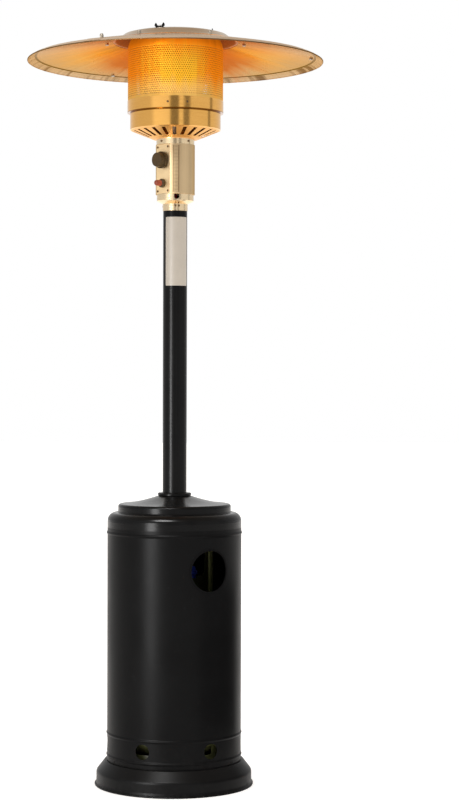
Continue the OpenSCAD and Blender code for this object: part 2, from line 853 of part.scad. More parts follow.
module valve_plunger() {
    color(brass) on_panel(knob_z) translate([0, 0, plunger_in]) difference() {
        cylinder(r = plunger_r, h = plunger_len);
        translate([0, 0, stem_in - plunger_in]) cylinder(r = stem_tip_r + pin_gap, h = plunger_len);
    }
}

knob_foot = panel_d + knob_push + 0.5;
module valve_stem() {
    color(steel) on_panel(knob_z) {
        translate([0, 0, stem_in + seat_gap]) cylinder(r = stem_tip_r, h = plunger_len);
        translate([0, 0, plunger_in + plunger_len + seat_gap])
            cylinder(r = stem_d / 2, h = knob_foot + knob_depth * 0.6 - plunger_in - plunger_len - seat_gap);
    }
}

// Round knob with finger flutes, a skirt and a pointer towards the lower right
knob_flutes = 18;
module control_knob() {
    r = knob_d / 2;
    color("#2a2018") on_panel(knob_z) translate([0, 0, knob_foot]) difference() {
        union() {
            cylinder(r = r, h = knob_depth * 0.3);
            translate([0, 0, knob_depth * 0.3]) cylinder(r1 = r - 2.5, r2 = r - 4, h = knob_depth * 0.7);
            rotate([0, 0, -52]) translate([0, -3, 0]) cube([r + 3, 6, knob_depth * 0.3]);
        }
        translate([0, 0, -1]) cylinder(r = stem_d / 2 + seat_gap, h = knob_depth * 0.6 + 1);
        for (i = [0:knob_flutes - 1]) rotate([0, 0, i * 360 / knob_flutes])
            translate([r - 1, 0, knob_depth * 0.4]) cylinder(r = 2.2, h = knob_depth);
    }
}

// Piezo igniter: a body behind the panel, a bezel on it and a button that travels
igniter_r = 11;
bezel_h = 10;
button_h = 18;
igniter_len = 32;
button_well = 14;
bezel_gap = 0.4;
bezel_w = 1;
bezel_round = 5;
module igniter_body() {
    color("#3a3a3a") on_panel(igniter_z) difference() {
        translate([0, 0, panel_d - igniter_len]) cylinder(r = igniter_r, h = igniter_len);
        translate([0, 0, panel_d - button_well]) cylinder(r = button_d / 2 + pin_gap, h = button_well * 2);
    }
}

module igniter_bezel() {
    color("#1c1814") on_panel(igniter_z) translate([0, 0, panel_d]) rotate_extrude() polygon(concat(
        [[button_d / 2 + bezel_gap, 0], [igniter_r + bezel_w, 0]],
        arc([igniter_r + bezel_w - bezel_round, bezel_h - bezel_round], bezel_round, 0, 60, 4),
        [[button_d / 2 + bezel_gap, bezel_h]]
    ));
}

module igniter_button() {
    r = button_d / 2;
    foot = panel_d - button_well + button_push + 1;
    tip = panel_d + bezel_h + button_h;
    color("#c03a28") on_panel(igniter_z) rotate_extrude() polygon(concat(
        [[0, foot], [r, foot], [r, panel_d + bezel_h]],
        arc([r - 6, tip - 5], 5, 10, 90, 4),
        [[0, tip]]
    ));
}

// Tilt switch: a weight that hangs on a pin between two cheeks, opposite the panel
tilt_back = 30;
tilt_pin_rise = 46;
tilt_pin_r = 2;
cheek_gap = 9;
cheek_t = 2;
cheek_w = 12;
cheek_foot = 18;
cheek_foot_t = 1.5;
weight_r = 4;
weight_h = 14;
weight_drop = 36;
eye_r = 4.5;
eye_w = 6;
module at_tilt(z) {
    rotate([0, 0, panel_at + 180]) translate([0, -tilt_back, head_z + shell_foot + head_t + z]) children();
}

module tilt_bracket() {
    color(steel) at_tilt(0) difference() {
        union() {
            translate([-cheek_gap / 2 - cheek_t, -cheek_foot, 0])
                cube([cheek_gap + 2 * cheek_t, cheek_foot + cheek_w / 2, cheek_foot_t]);
            for (x = [-cheek_gap / 2 - cheek_t, cheek_gap / 2])
                translate([x, -cheek_w / 2, 0]) cube([cheek_t, cheek_w, tilt_pin_rise + 6]);
        }
        translate([-20, 0, tilt_pin_rise]) rotate([0, 90, 0]) cylinder(r = tilt_pin_r + pin_gap, h = 40);
    }
}

module tilt_pin() {
    color(steel) at_tilt(tilt_pin_rise) rotate([0, 90, 0])
        cylinder(r = tilt_pin_r, h = cheek_gap + 2 * cheek_t + 3, center = true);
}

module tilt_weight() {
    color(brass) at_tilt(tilt_pin_rise) difference() {
        union() {
            rotate([0, 90, 0]) cylinder(r = eye_r, h = eye_w, center = true);
            translate([-1.5, -2, weight_h / 2 - weight_drop])
                cube([3, 4, weight_drop - weight_h / 2 - tilt_pin_r]);
            translate([0, 0, -weight_drop]) cylinder(r = weight_r, h = weight_h);
        }
        rotate([0, 90, 0]) cylinder(r = tilt_pin_r + pin_gap, h = 20, center = true);
    }
}

jet_r = 8;
jet_h = 14;
jet_z = pan_z - 8;
module feed_pipe() {
    foot = valve_low + valve_body_h;
    color(brass) translate([0, 0, head_z + foot]) cylinder(r = 4, h = jet_z - foot);
}

module jet() {
    color(brass) translate([0, 0, head_z + jet_z]) difference() {
        cylinder(r = jet_r, h = jet_h);
        translate([0, 0, 3]) cylinder(r = 1, h = jet_h);
    }
}

module top_collar() {
    color(gold) difference() {
        translate([0, 0, head_z]) spun([
            [top_collar_r - rim_w, shell_top], [top_collar_r, shell_top], [top_collar_r, pan_z]
        ], head_t);
        collar_screw_places() front_rod(screw_r + seat_gap, top_collar_r / 2, top_collar_r + 2);
    }
}

// Burner

// The pan's floor, its slotted cone and the cup, from the mixing tube outwards
slot_in = pan_floor_r + 11;
slot_out = cup_r - 9;
module burner_pan() {
    path = [
        [tube_r + seat_gap, pan_z], [pan_floor_r, pan_z], [cup_r, cup_z], [cup_r, band_z]
    ];
    color(gold) translate([0, 0, head_z]) difference() {
        spun(path, head_t);
        around(slot_n) translate([-slot_w / 2, -slot_out, pan_z - 1])
            cube([slot_w, slot_out - slot_in, pan_rise]);
    }
}

module emitter_band() {
    color(gold) difference() {
        translate([0, 0, head_z]) spun([
            [cup_r - 4, band_z], [band_r, band_z], [band_r, band_z + band_h]
        ], head_t);
        band_screw_places() front_rod(screw_r + seat_gap, screen_r - 4, band_r + 2);
    }
}

// The screws stand in three pairs
band_pair_at = 4;
band_pair_half = 11.5;
module band_screw_places() {
    for (side = [-1, 1]) translate([0, 0, head_z + band_z + band_h / 2])
        around(3, band_pair_at + side * band_pair_half) children();
}

module band_screws() {
    color(steel) band_screw_places() {
        front_rod(screw_r, screen_r + seat_gap / 2, band_r + screw_head_h);
        front_rod(screw_head_r, band_r + screw_head_gap, band_r + screw_head_h);
    }
}

// Perforated screen: every second row of holes is shifted by half a step
taper_round = 3;
module emitter_screen() {
    low = band_z + band_h + 12;
    pitch = (screen_h - 14) / screen_rows;
    color("#f59a20") translate([0, 0, head_z]) difference() {
        spun([
            [screen_r, screen_z], [screen_r, taper_z],
            [screen_r - taper_round, taper_z + taper_h * 0.55], [top_r, top_z]
        ], head_t);
        for (row = [0:screen_rows - 1]) translate([0, 0, low + row * pitch])
            around(screen_cols, (row % 2) * 180 / screen_cols)
                front_rod(screen_hole_d / 2, screen_r - 4, screen_r + 4);
    }
}

// Burner: mixing tube, flange on the pan's floor, funnel and a perforated top
burner_rise = 120;
burner_rim_h = 26;
mix_h = 50;
flange_w = 16;
burner_z = pan_z + burner_rise;
burner_top = burner_z + burner_rim_h;
flange_r = tube_r + flange_w;
module burner() {
    plate_r = burner_r - 14;
    color("#8a6a3a") translate([0, 0, head_z]) {
        spun([
            [tube_r, pan_z - 1], [tube_r, pan_z + mix_h], [burner_r * 0.62, burner_z - 4],
            [burner_r * 0.66, burner_z], [burner_r, burner_top]
        ], head_t);
        difference() {
            translate([0, 0, pan_z + head_t]) cylinder(r = flange_r, h = 2);
            translate([0, 0, pan_z]) cylinder(r = tube_r - head_t / 2, h = 5);
        }
        difference() {
            translate([0, 0, burner_z]) cylinder(r = burner_r * 0.66, h = 1.5);
            for (ring = [1:4]) around(ring * 6)
                translate([0, -ring * plate_r * 0.18, burner_z - 1]) cylinder(r = 3, h = 4);
        }
    }
}

// Pilot arm: a plate on the band's flange that carries the pilot, the thermocouple and the spark electrode
arm_at = 150;
pilot_r = burner_r + 14;
pilot_step = 15;
arm_t = 2;
arm_w = 48;
pilot_drop = 14;
pilot_pipe_r = 4;
pilot_pipe_h = 88;
pilot_tip_r = 6;
pilot_tip_h = 10;
probe_r = 2.5;
probe_h = 100;
ceramic_r = 3.5;
ceramic_h = 80;
wire_r = 1.2;
wire_h = 22;
module at_pilot(i) {
    rotate([0, 0, arm_at]) translate([i * pilot_step, -pilot_r, head_z + screen_z]) children();
}

module pilot_arm() {
    color(steel) difference() {
        rotate([0, 0, arm_at]) translate([-arm_w / 2, -screen_r + head_t + 4, head_z + screen_z])
            cube([arm_w, screen_r - head_t - pilot_r + 6, arm_t]);
        at_pilot(-1) cylinder(r = probe_r + seat_gap, h = arm_t * 4, center = true);
        at_pilot(0) cylinder(r = pilot_pipe_r + seat_gap, h = arm_t * 4, center = true);
        at_pilot(1) cylinder(r = ceramic_r + seat_gap, h = arm_t * 4, center = true);
    }
}

module pilot_burner() {
    color(brass) at_pilot(0) {
        translate([0, 0, -pilot_drop]) cylinder(r = pilot_pipe_r, h = pilot_pipe_h);
        translate([0, 0, pilot_pipe_h - pilot_drop]) cylinder(r = pilot_tip_r, h = pilot_tip_h, $fn = 6);
    }
}

module thermocouple() {
    color(steel) at_pilot(-1) translate([0, 0, -pilot_drop]) cylinder(r = probe_r, h = probe_h);
}

module spark_electrode() {
    color("#e8e4da") at_pilot(1) {
        translate([0, 0, -pilot_drop]) cylinder(r = ceramic_r, h = ceramic_h);
        translate([0, 0, ceramic_h - pilot_drop]) cylinder(r = wire_r, h = wire_h);
    }
}

// Reflector

stud_d = 6;
module stud_places() {
    around(3, stud_at) translate([0, -stud_r, head_z + top_z]) children();
}

module emitter_top() {
    color(gold) difference() {
        translate([0, 0, head_z + top_z]) cylinder(r = top_r, h = plate_t);
        stud_places() cylinder(d = stud_d + 2 * seat_gap, h = 20, center = true);
    }
}

wing_nut_h = 8;
wing_h = 17;
wing_out = 15;
wing_t = 2.4;
module studs() {
    color(steel) stud_places() {
        cylinder(d = stud_d, h = plate_t + spacer_h + reflector_t + wing_nut_h + 3);
        translate([0, 0, -4]) cylinder(r = stud_d * 0.9, h = 4, $fn = 6);
    }
}

module spacers() {
    color(steel) stud_places() translate([0, 0, plate_t]) difference() {
        cylinder(r = stud_d, h = spacer_h);
        translate([0, 0, -1]) cylinder(d = stud_d + 2 * seat_gap, h = spacer_h + 2);
    }
}

module wing_nuts() {
    color(steel) stud_places() translate([0, 0, plate_t + spacer_h + reflector_t]) difference() {
        union() {
            cylinder(r1 = stud_d, r2 = stud_d * 0.8, h = wing_nut_h);
            rotate([90, 0, 0]) linear_extrude(wing_t, center = true) for (side = [-1, 1]) scale([side, 1])
                polygon([
                    [stud_d * 0.6, 1], [stud_d * 1.2, 1.5], [wing_out, wing_h * 0.53],
                    [wing_out - 1, wing_h - 3], [wing_out - 4, wing_h], [stud_d * 0.6, wing_nut_h * 0.75]
                ]);
        }
        translate([0, 0, -1]) cylinder(d = stud_d + 2 * seat_gap, h = wing_h + 2);
    }
}

// Dome over the studs, with a skirt that laps on the segments
module reflector_dome() {
    knee = dome_r - 23;
    path = concat(
        [for (i = [0:2]) let (r = lap_r - lap_w * i / 2) [r, dish_z(r) + reflector_t / cos(dish_slope)]],
        [
            [dome_r - 8, dome_foot + dome_rise * 0.25], [knee, dome_top - dome_rise * 0.2],
            [knee - 16, dome_top], [0, dome_top]
        ]
    );
    color("#96826e") translate([0, 0, head_z]) difference() {
        spun(path, reflector_t);
        translate([0, 0, -head_z]) stud_places() cylinder(d = stud_d + 2 * seat_gap, h = 60, center = true);
        translate([0, 0, -head_z]) inner_bolt_places() seam_bolt_hole();
    }
}

// Sheet of the dish, from its inner edge to the rolled lip
dish_in = dome_r + 6;
dish_path = [
    [reflector_r - 1, dish_z(fold_r) - lip_drop], [fold_r + lip_w * 0.55, dish_z(fold_r) - lip_drop * 0.42],
    [fold_r, dish_z(fold_r)], [lap_r, dish_z(lap_r)], [dish_in, dish_z(dish_in)]
];
lap_path = [
    [fold_r + lip_w * 0.8, dish_z(fold_r) - lip_drop * 0.75], dish_path[1], dish_path[2],
    [lap_r + 4, dish_z(lap_r + 4)]
];
seam_bolt_d = 6;
cap_nut_h = 5;
cap_nut_top = 10;
bead_r = 1.5;
segment_n = 3;
seam_open = 0.15;

// One third of the dish, which starts at a seam and laps over the next third at its end
module segment(start) {
    third = 360 / segment_n - seam_open;
    color(gold) translate([0, 0, head_z]) rotate([0, 0, start - 90]) difference() {
        union() {
            rotate_extrude(angle = third) polygon(sheet(dish_path, reflector_t));
            rotate_extrude(angle = third) translate([reflector_r - bead_r, dish_path[0][1]])
                circle(r = bead_r);
            rotate([0, 0, third - seam_half]) rotate_extrude(angle = 2 * seam_half)
                polygon(sheet(lap_path, -reflector_t));
        }
        rotate([0, 0, 90 - start]) translate([0, 0, -head_z]) {
            inner_bolt_places() seam_bolt_hole();
            outer_bolt_places() seam_bolt_hole();
        }
    }
}

module segment_right() {
    segment(seam_at);
}

module segment_rear() {
    segment(seam_at + 360 / segment_n);
}

module segment_left() {
    segment(seam_at - 360 / segment_n);
}

module inner_bolt_places() {
    around(2 * segment_n, seam_at + seam_half / 2)
        translate([0, -inner_bolt_r, head_z + dish_z(inner_bolt_r)]) children();
}

module outer_bolt_places() {
    around(segment_n, seam_at + seam_half / 2)
        translate([0, -outer_bolt_r, head_z + dish_z(outer_bolt_r)]) children();
}

module seam_bolts() {
    color(steel) {
        inner_bolt_places() seam_bolt();
        outer_bolt_places() seam_bolt();
    }
}

module seam_bolt_hole() {
    rotate([dish_slope, 0, 0]) cylinder(d = seam_bolt_d + 2 * seat_gap, h = 12, center = true);
}

// A bolt square to the dish, through two sheets, with its head below and a cap nut above
module seam_bolt() {
    rotate([dish_slope, 0, 0]) {
        translate([0, 0, -reflector_t - seam_bolt_d * 0.6])
            cylinder(r = seam_bolt_d * 0.9, h = seam_bolt_d * 0.6, $fn = 6);
        translate([0, 0, -reflector_t]) cylinder(d = seam_bolt_d, h = 2 * reflector_t);
        translate([0, 0, reflector_t]) cylinder(r = seam_bolt_d * 0.95, h = cap_nut_h, $fn = 6);
        translate([0, 0, reflector_t]) rotate_extrude() polygon(concat(
            [[0, 0], [seam_bolt_d * 0.75, 0]],
            arc([seam_bolt_d * 0.25, cap_nut_top - seam_bolt_d * 0.5], seam_bolt_d * 0.5, 0, 90, 4),
            [[0, cap_nut_top]]
        ));
    }
}

base_shell();
left_leg();
right_leg();
rear_leg();
leg_feet();
foot_bolts();
hub_plate();
post_flange();
flange_bolts();
post();
gas_bottle();
foot_ring();
valve_guard();
bottle_valve();
handwheel();
valve_cap();
regulator();
union_nut();
gas_hose();
hose_ferrules();
tank_housing();
housing_lid();
post_collar();
hand_hole_trim();
head_neck();
neck_screws();
control_shell();
control_panel();
panel_screws();
gas_valve();
valve_plunger();
valve_stem();
control_knob();
igniter_body();
igniter_bezel();
igniter_button();
tilt_bracket();
tilt_pin();
tilt_weight();
feed_pipe();
jet();
top_collar();
burner_pan();
emitter_band();
band_screws();
emitter_screen();
burner();
pilot_arm();
pilot_burner();
thermocouple();
spark_electrode();
emitter_top();
studs();
spacers();
wing_nuts();
reflector_dome();
segment_right();
segment_rear();
segment_left();
seam_bolts();
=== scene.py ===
"""Dresses the solids of a gas patio heater and sets them in a plain studio."""

import math

import bmesh
import bpy
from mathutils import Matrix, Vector


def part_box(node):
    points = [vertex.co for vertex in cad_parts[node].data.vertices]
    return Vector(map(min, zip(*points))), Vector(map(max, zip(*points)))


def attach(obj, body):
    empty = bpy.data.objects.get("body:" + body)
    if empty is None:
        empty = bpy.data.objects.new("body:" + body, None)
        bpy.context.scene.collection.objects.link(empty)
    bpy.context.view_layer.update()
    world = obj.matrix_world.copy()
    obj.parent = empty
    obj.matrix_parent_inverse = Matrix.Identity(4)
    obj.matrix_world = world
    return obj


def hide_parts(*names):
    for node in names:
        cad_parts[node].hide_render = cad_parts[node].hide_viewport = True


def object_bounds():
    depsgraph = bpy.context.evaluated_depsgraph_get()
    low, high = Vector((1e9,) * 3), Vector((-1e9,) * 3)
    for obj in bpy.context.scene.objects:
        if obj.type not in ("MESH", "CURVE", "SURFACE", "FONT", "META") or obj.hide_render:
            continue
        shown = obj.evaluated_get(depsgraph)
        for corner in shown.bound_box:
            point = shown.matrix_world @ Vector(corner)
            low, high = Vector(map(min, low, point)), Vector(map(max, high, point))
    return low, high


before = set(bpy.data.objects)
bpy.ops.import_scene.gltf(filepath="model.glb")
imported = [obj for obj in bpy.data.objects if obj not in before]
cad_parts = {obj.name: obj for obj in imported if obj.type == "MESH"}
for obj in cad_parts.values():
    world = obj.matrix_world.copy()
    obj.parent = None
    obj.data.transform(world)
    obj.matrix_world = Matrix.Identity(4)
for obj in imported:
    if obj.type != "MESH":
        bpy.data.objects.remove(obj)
cad_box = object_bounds()

bl_info = {
    "name": "Gas patio heater",
    "version": (1, 0, 0),
    "blender": (4, 5, 0),
    "location": "3D View > Sidebar > Heater",
    "description": "Finishes and fine pieces for a gas patio heater",
    "category": "Object",
}

# Levels and radii read from the solids
POST_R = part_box("post")[1].x
BASE_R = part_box("base_shell")[1].x
DISH_R = cad_box[1].x
SCREEN_LOW, SCREEN_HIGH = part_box("emitter_screen")
BAND_LOW, BAND_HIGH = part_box("emitter_band")
SHELL_LOW, SHELL_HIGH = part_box("control_shell")
TOP_LOW, TOP_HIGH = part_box("emitter_top")

# Radius at which the lip of the dish is folded down
FOLD_R = 0.384

# Height of the cup below the band, and of the edge between the cone and the cup
CUP_H = 0.046
CUP_FOOT = BAND_LOW.z - CUP_H

# Route of the gas hose, from the regulator round the valve guard and up inside the post
HOSE_LOOP = [
    (0.040, 0.033, 0.614), (0.040, 0.033, 0.634), (0.0389, 0.033, 0.6539),
    (0.0302, 0.033, 0.6716), (0.0146, 0.033, 0.6839), (-0.0047, 0.033, 0.688),
    (-0.024, 0.033, 0.6832), (-0.0391, 0.033, 0.6706), (-0.0472, 0.033, 0.6524),
    (-0.048, 0.033, 0.6326), (-0.048, 0.033, 0.6126), (-0.048, 0.0279, 0.5934),
    (-0.048, 0.015, 0.5785), (-0.048, -0.0033, 0.5707), (-0.048, -0.0229, 0.5717),
    (-0.048, -0.0404, 0.5812), (-0.048, -0.0517, 0.5973), (-0.048, -0.055, 0.6169),
    (-0.0459, -0.0526, 0.6366), (-0.041, -0.0469, 0.6549), (-0.0332, -0.0381, 0.671),
    (-0.0232, -0.0266, 0.6838), (-0.0135, -0.0155, 0.6972), (-0.0061, -0.007, 0.7137),
    (-0.0015, -0.0018, 0.7324), (0.0, 0.0, 0.752),
]
# Its straight part inside the post: lowest point, highest point and number of points
RUN_LOW, RUN_HIGH, RUN_POINTS = 0.8, 1.640043, 10
HOSE_ROUTE = HOSE_LOOP + [
    (0.0, 0.0, RUN_LOW + (RUN_HIGH - RUN_LOW) * i / (RUN_POINTS - 1)) for i in range(RUN_POINTS)
]
# Steps between two points of the route, and roundness of the hose
HOSE_STEPS, HOSE_ROUND = 5, 5

# Bare plate on the post: side edges as angles from the front, thickness and gap to the post
PLATE_TURNS = math.radians(-49.5), math.radians(72)
PLATE_THICK, PLATE_GAP = 0.00015, 0.00005

# Seam down the control shell: side edges as angles from the front, distance to the shell's ends, and rungs
SEAM_TURNS = math.radians(-5.5), math.radians(13)
SEAM_END, SEAM_RUNGS = 0.004, 34

# Emitter sheet: thickness, gap to its neighbours, and depth below the band's edge of a plain ring of points
SHEET_THICK, SHEET_GAP, SHEET_LAP = 0.0008, 0.0002, 0.01
# Its tapered top: height, and how far it has drawn in at two heights
TAPER_H = 0.028
TAPER_BEND = ((0.0003, 0.004), (0.003, 0.0154))
# Plain margins below and above its holes
MARGIN_LOW, MARGIN_HIGH = 0.006, 0.004

# Marks on coats and paint
SCUFF = (0.08, 0.08, 0.08)
DUST = (0.08, 0.075, 0.07)
CHIP = (0.07, 0.06, 0.04)
# Polish on flat parts of the coat: how far up they face, roughness and refraction
FLAT, POLISH_ROUGH, POLISH_IOR = (0.86, 0.94), 0.25, 1.7

# Heat tint and painted shade on the bright sheet: the heat tint and the heights between which the emitter's
# top takes it, then the painted shade on the pan's downward cone and the height over which it fades in
HEATED = (0.5, 0.2, 0.05)
TOP_HEAT = 1.9, 2.04
CONE_SHADE = (0.62, 0.34, 0.10)
CONE_FADE = 0.002
# The painted shade line at the joint under the band: colour, drop, and distances between which it fades in
JOINT_SHADE, JOINT_DROP, JOINT_FADE = (0.22, 0.08, 0.006), 0.001, (0.0028, 0.0018)
# What the control shell, the segments and the dome mirror at a slant
SHELL_EDGE, DISH_EDGE, DOME_EDGE = (0.72, 0.56, 0.36), (0.74, 0.54, 0.34), (0.85, 0.78, 0.70)

# The glowing emitter: the painted deeper orange of its sides, which stands for the sheet seen at a slant,
# where the sides begin, and how much more it lights than it shows
SLANT_GLOW = (0.62, 0.28, 0.05)
SLANT_GLOW_EDGE = 0.98, 0.70
CAST = 3.6
# Its bare sheet, and the burner with the heights between which it glows
EMITTER, EMITTER_SHADE = (0.30, 0.13, 0.010), (0.20, 0.08, 0.006)
EMITTER_EDGE = (0.8, 0.45, 0.12)
EMITTER_INSIDE = (0.10, 0.05, 0.025)
BURNER, BURNER_SHADE = (0.42, 0.32, 0.22), (0.25, 0.15, 0.09)
BURNER_HEAT = 1.84, 1.93
BURNER_GLOW = [(0.0, (0, 0, 0)), (0.5, (0.20, 0.06, 0.01)), (1.0, (0.9, 0.5, 0.10))]

# Under the dish: painted orange glow of the emitter, with painted shade right beside it, from the emitter
# outwards between two radii, and the marks on it
PAINTED_GLOW_REACH = 0.12, 0.42
PAINTED_DISH_GLOW = [
    (0.0, (0.24, 0.07, 0.014)), (0.14, (0.50, 0.14, 0.014)),
    (0.34, (0.90, 0.32, 0.02)), (0.55, (0.86, 0.46, 0.13)),
]
# Painted shade line in the crease where the lip is folded
CREASE_SHADE = (0.02, 0.01, 0.004)
RIM = (0.10, 0.05, 0.018)
# Painted shade under the dish towards the rear
REAR_SHADE = (0.44, 0.10, 0.002)
# Painted dark reflection streaks on the lip
LIP_REFLECTION = (0.12, 0.05, 0.014)
# Painted shade in a ring round the emitter's top, under the dome
RING_SHADE = (0.17, 0.065, 0.014)
# Radii between which those marks fade in, and how much farther out the painted rear shade reaches behind
CREASE_IN, CREASE_OUT = (FOLD_R - 0.0065, FOLD_R - 0.004), (FOLD_R + 0.0015, FOLD_R)
RIM_IN = DISH_R - 0.0022, DISH_R - 0.0012
REAR_SHADE_OUT, REAR_SHADE_REACH = (0.25, 0.15), 0.17
LIP_REFLECTION_IN, LIP_IN = (FOLD_R, FOLD_R + 0.002), (FOLD_R, FOLD_R + 0.003)
RING_SHADE_OUT = 0.172, 0.162

# Colour and shade of the small steel pieces, and the scales of the lines on them
SEAM = (0.22, 0.14, 0.07), (0.14, 0.09, 0.04)
PLATED = (0.62, 0.60, 0.55), (0.36, 0.33, 0.28)
BROWNED = (0.20, 0.12, 0.06), (0.10, 0.06, 0.03)
DULLED = (0.40, 0.36, 0.30), (0.22, 0.19, 0.15)
STEEL_LINES = 20.0, 400.0, 900.0
CERAMIC = (0.75, 0.72, 0.64)

# Brightness of the room by direction, in degrees from the front towards the right
ROOM = [
    (-180, 1.0), (-140, 1.0), (-125, 0.92), (-62, 0.92), (-52, 1.35), (-14, 1.25),
    (-9, 0.32), (9, 0.32), (11, 1.15), (20, 1.15), (23, 0.34), (36, 0.34),
    (39, 1.0), (92, 1.0), (94, 0.35), (99, 0.35), (103, 1.0), (180, 1.0),
]
ROOM_STRENGTH = 0.8
CEILING = (0.60, 0.48, 0.36)

# Soft boxes that show only in reflections: name, width and height, power, place and aim. The strip draws
# the long highlight down the housing and the post, and the boom the thin ones on beads and rounded edges.
SOFT_BOXES = (
    ("Strip light", (0.5, 1.45), 62, (-1.33, -1.78, 0.775), (1.33, 1.78, 0)),
    ("Boom light", (1.6, 0.25), 130, (-0.9, -2.2, 3.5), (0.9, 2.2, -3.2)),
)
SUN_POWER, SUN_ANGLE = 1.6, math.radians(120)

# Floor: size, colour, its own light, and how far the dark under the base fades
FLOOR_SIZE, FLOOR_TONE, FLOOR_LIGHT, FLOOR_FADE = 60, 0.86, 0.45, 0.012

# Dark card round the right side: radius, lower and upper edge, and directions
FLAG_R, FLAG_LOW, FLAG_HIGH = 0.75, 0.001, 0.50
FLAG_TURNS = [math.radians(a) for a in range(40, 121, 5)]
FLAG_TONE = 0.01

# Height of the camera's frame in millimetres
FRAME_H = 36

# Range that most values of a noise lie in
NOISE = 0.3, 0.7


def colour(name, description, default):
    return bpy.props.FloatVectorProperty(
        name=name, description=description, default=default, size=3, min=0, max=1, subtype="COLOR"
    )


def length(name, description, default, low, high):
    return bpy.props.FloatProperty(
        name=name, description=description, default=default, min=low, max=high, unit="LENGTH"
    )


def count(name, description, default, low, high):
    return bpy.props.IntProperty(name=name, description=description, default=default, min=low, max=high)


def angle(name, description, degrees):
    return bpy.props.FloatProperty(
        name=name, description=description, default=math.radians(degrees), subtype="ANGLE"
    )


class HeaterColours(bpy.types.PropertyGroup):
    """Colours of the finishes"""

    coat: colour("Black coat", "Powder coat of the base, housing and post", (0.0045, 0.0045, 0.0047))
    # Painted warm light: bare steel given a gold tint that stands for the emitter's warm glow
    warm_light_tone: colour("Gold sheet", "Polished sheet of the pan and the band", (0.93, 0.50, 0.13))
    warm_light_lines: colour("Gold shade", "Darker lines in the polished sheet", (0.80, 0.40, 0.09))
    # Control shell and panel: beige sheet whose warm tone is partly painted warm light from the emitter
    shell: colour("Control shell", "Brushed sheet of the control shell", (0.64, 0.47, 0.27))
    panel: colour("Control panel", "Fine sheet of the control panel", (0.84, 0.63, 0.36))
    neck: colour("Neck", "Bright sheet of the neck and the collars", (0.90, 0.70, 0.44))
    reflector: colour("Reflector", "Rolled sheet of the dish, below", (0.60, 0.43, 0.25))
    dome: colour("Dome", "Rolled sheet of the dish and the dome, above", (0.75, 0.67, 0.58))
    glow_low: colour("Glow, low", "Emitter just above the band", (0.66, 0.42, 0.12))
    glow_mid: colour("Glow, middle", "Hottest part of the emitter", (0.78, 0.42, 0.024))
    glow_high: colour("Glow, high", "Emitter under the dish", (0.66, 0.16, 0.004))
    # Bottle paint: olive, darkened with painted shade for the dark inside the housing
    olive_shaded: colour("Bottle", "Paint of the gas bottle", (0.128, 0.134, 0.050))
    hose: colour("Hose", "Rubber of the gas hose", (0.45, 0.008, 0.012))
    wheel: colour("Handwheel", "Plastic of the handwheel", (0.013, 0.032, 0.55))
    enamel: colour("Regulator", "Enamel of the regulator", (0.02, 0.04, 0.30))
    brass: colour("Brass", "Valves, cap and jet", (0.72, 0.50, 0.20))
    plate: colour("Bare plate", "Sheet on the post", (0.50, 0.45, 0.38))
    knob: colour("Knob", "Moulding of the knob and the bezel", (0.060, 0.036, 0.012))
    button: colour("Button", "Moulding of the igniter button", (0.25, 0.048, 0.024))


class HeaterSizes(bpy.types.PropertyGroup):
    """Sizes of the fine pieces"""

    hose_d: length("Hose", "Outside of the gas hose", 0.0105, 0.006, 0.016)
    plate_low: length("Plate foot", "Lower edge of the bare plate", 1.3668, 1.2, 1.5)
    plate_high: length("Plate head", "Upper edge of the bare plate", 1.5545, 1.4, 1.57)
    plate_corner: length("Plate corner", "Corner radius of the bare plate", 0.003, 0.001, 0.01)
    hole_columns: count("Hole columns", "Holes round the emitter", 136, 24, 240)
    hole_rows: count("Hole rows", "Rows of holes in the emitter", 23, 6, 48)
    hole_share: bpy.props.FloatProperty(
        name="Hole share", description="Hole diameter over the pitch",
        default=0.44, min=0.3, max=0.8, subtype="FACTOR",
    )


class HeaterStudio(bpy.types.PropertyGroup):
    """Camera"""

    distance: length("Distance", "Camera to post", 5.6, 3, 12)
    height: length("Height", "Camera above the floor", 1.111, 0.2, 3)
    aside: length("Aside", "Camera to the right of the post", 0.1502, -1, 1)
    focus: bpy.props.FloatProperty(
        name="Lens", description="Focal length on a 36 mm high frame",
        default=91.73, min=20, max=300, unit="CAMERA",
    )
    tilt: angle("Tilt", "Camera looks down by this", 0.58)
    roll: angle("Roll", "Camera leans to the left by this", 0.15)


# Node helpers


def put(tree, kind, inputs=None, **settings):
    """Adds a node. inputs holds values, or sockets to link, by the input's name or number."""
    made = tree.nodes.new(kind)
    for key, value in settings.items():
        setattr(made, key, value)
    for key, value in (inputs or {}).items():
        if isinstance(value, bpy.types.NodeSocket):
            tree.links.new(value, made.inputs[key])
        else:
            made.inputs[key].default_value = value
    return made


def feed(tree, inputs, sockets):
    """Links sockets to inputs, by the inputs' names."""
    for name, socket in sockets.items():
        tree.links.new(socket, inputs[name])


def maths(tree, operation, a, b=0.0, clamp=False):
    return put(tree, "ShaderNodeMath", {0: a, 1: b}, operation=operation, use_clamp=clamp).outputs[0]


def plus(tree, a, b):
    return maths(tree, "ADD", a, b)


def minus(tree, a, b):
    return maths(tree, "SUBTRACT", a, b)


def times(tree, a, b):
    return maths(tree, "MULTIPLY", a, b)


def larger(tree, a, b):
    return maths(tree, "MAXIMUM", a, b)


def spread(tree, value, low, high, to_low=0.0, to_high=1.0):
    """Maps a value from low..high to to_low..to_high."""
    return put(
        tree, "ShaderNodeMapRange",
        {"Value": value, "From Min": low, "From Max": high, "To Min": to_low, "To Max": to_high},
    ).outputs[0]


def vary(tree, noise, low=0.0, high=1.0):
    """Maps the usual range of a noise to low..high."""
    return spread(tree, noise, *NOISE, low, high)


def sway(tree, value, noise, amount):
    """Moves a value up and down by a noise."""
    return plus(tree, value, times(tree, minus(tree, noise, 0.5), amount))


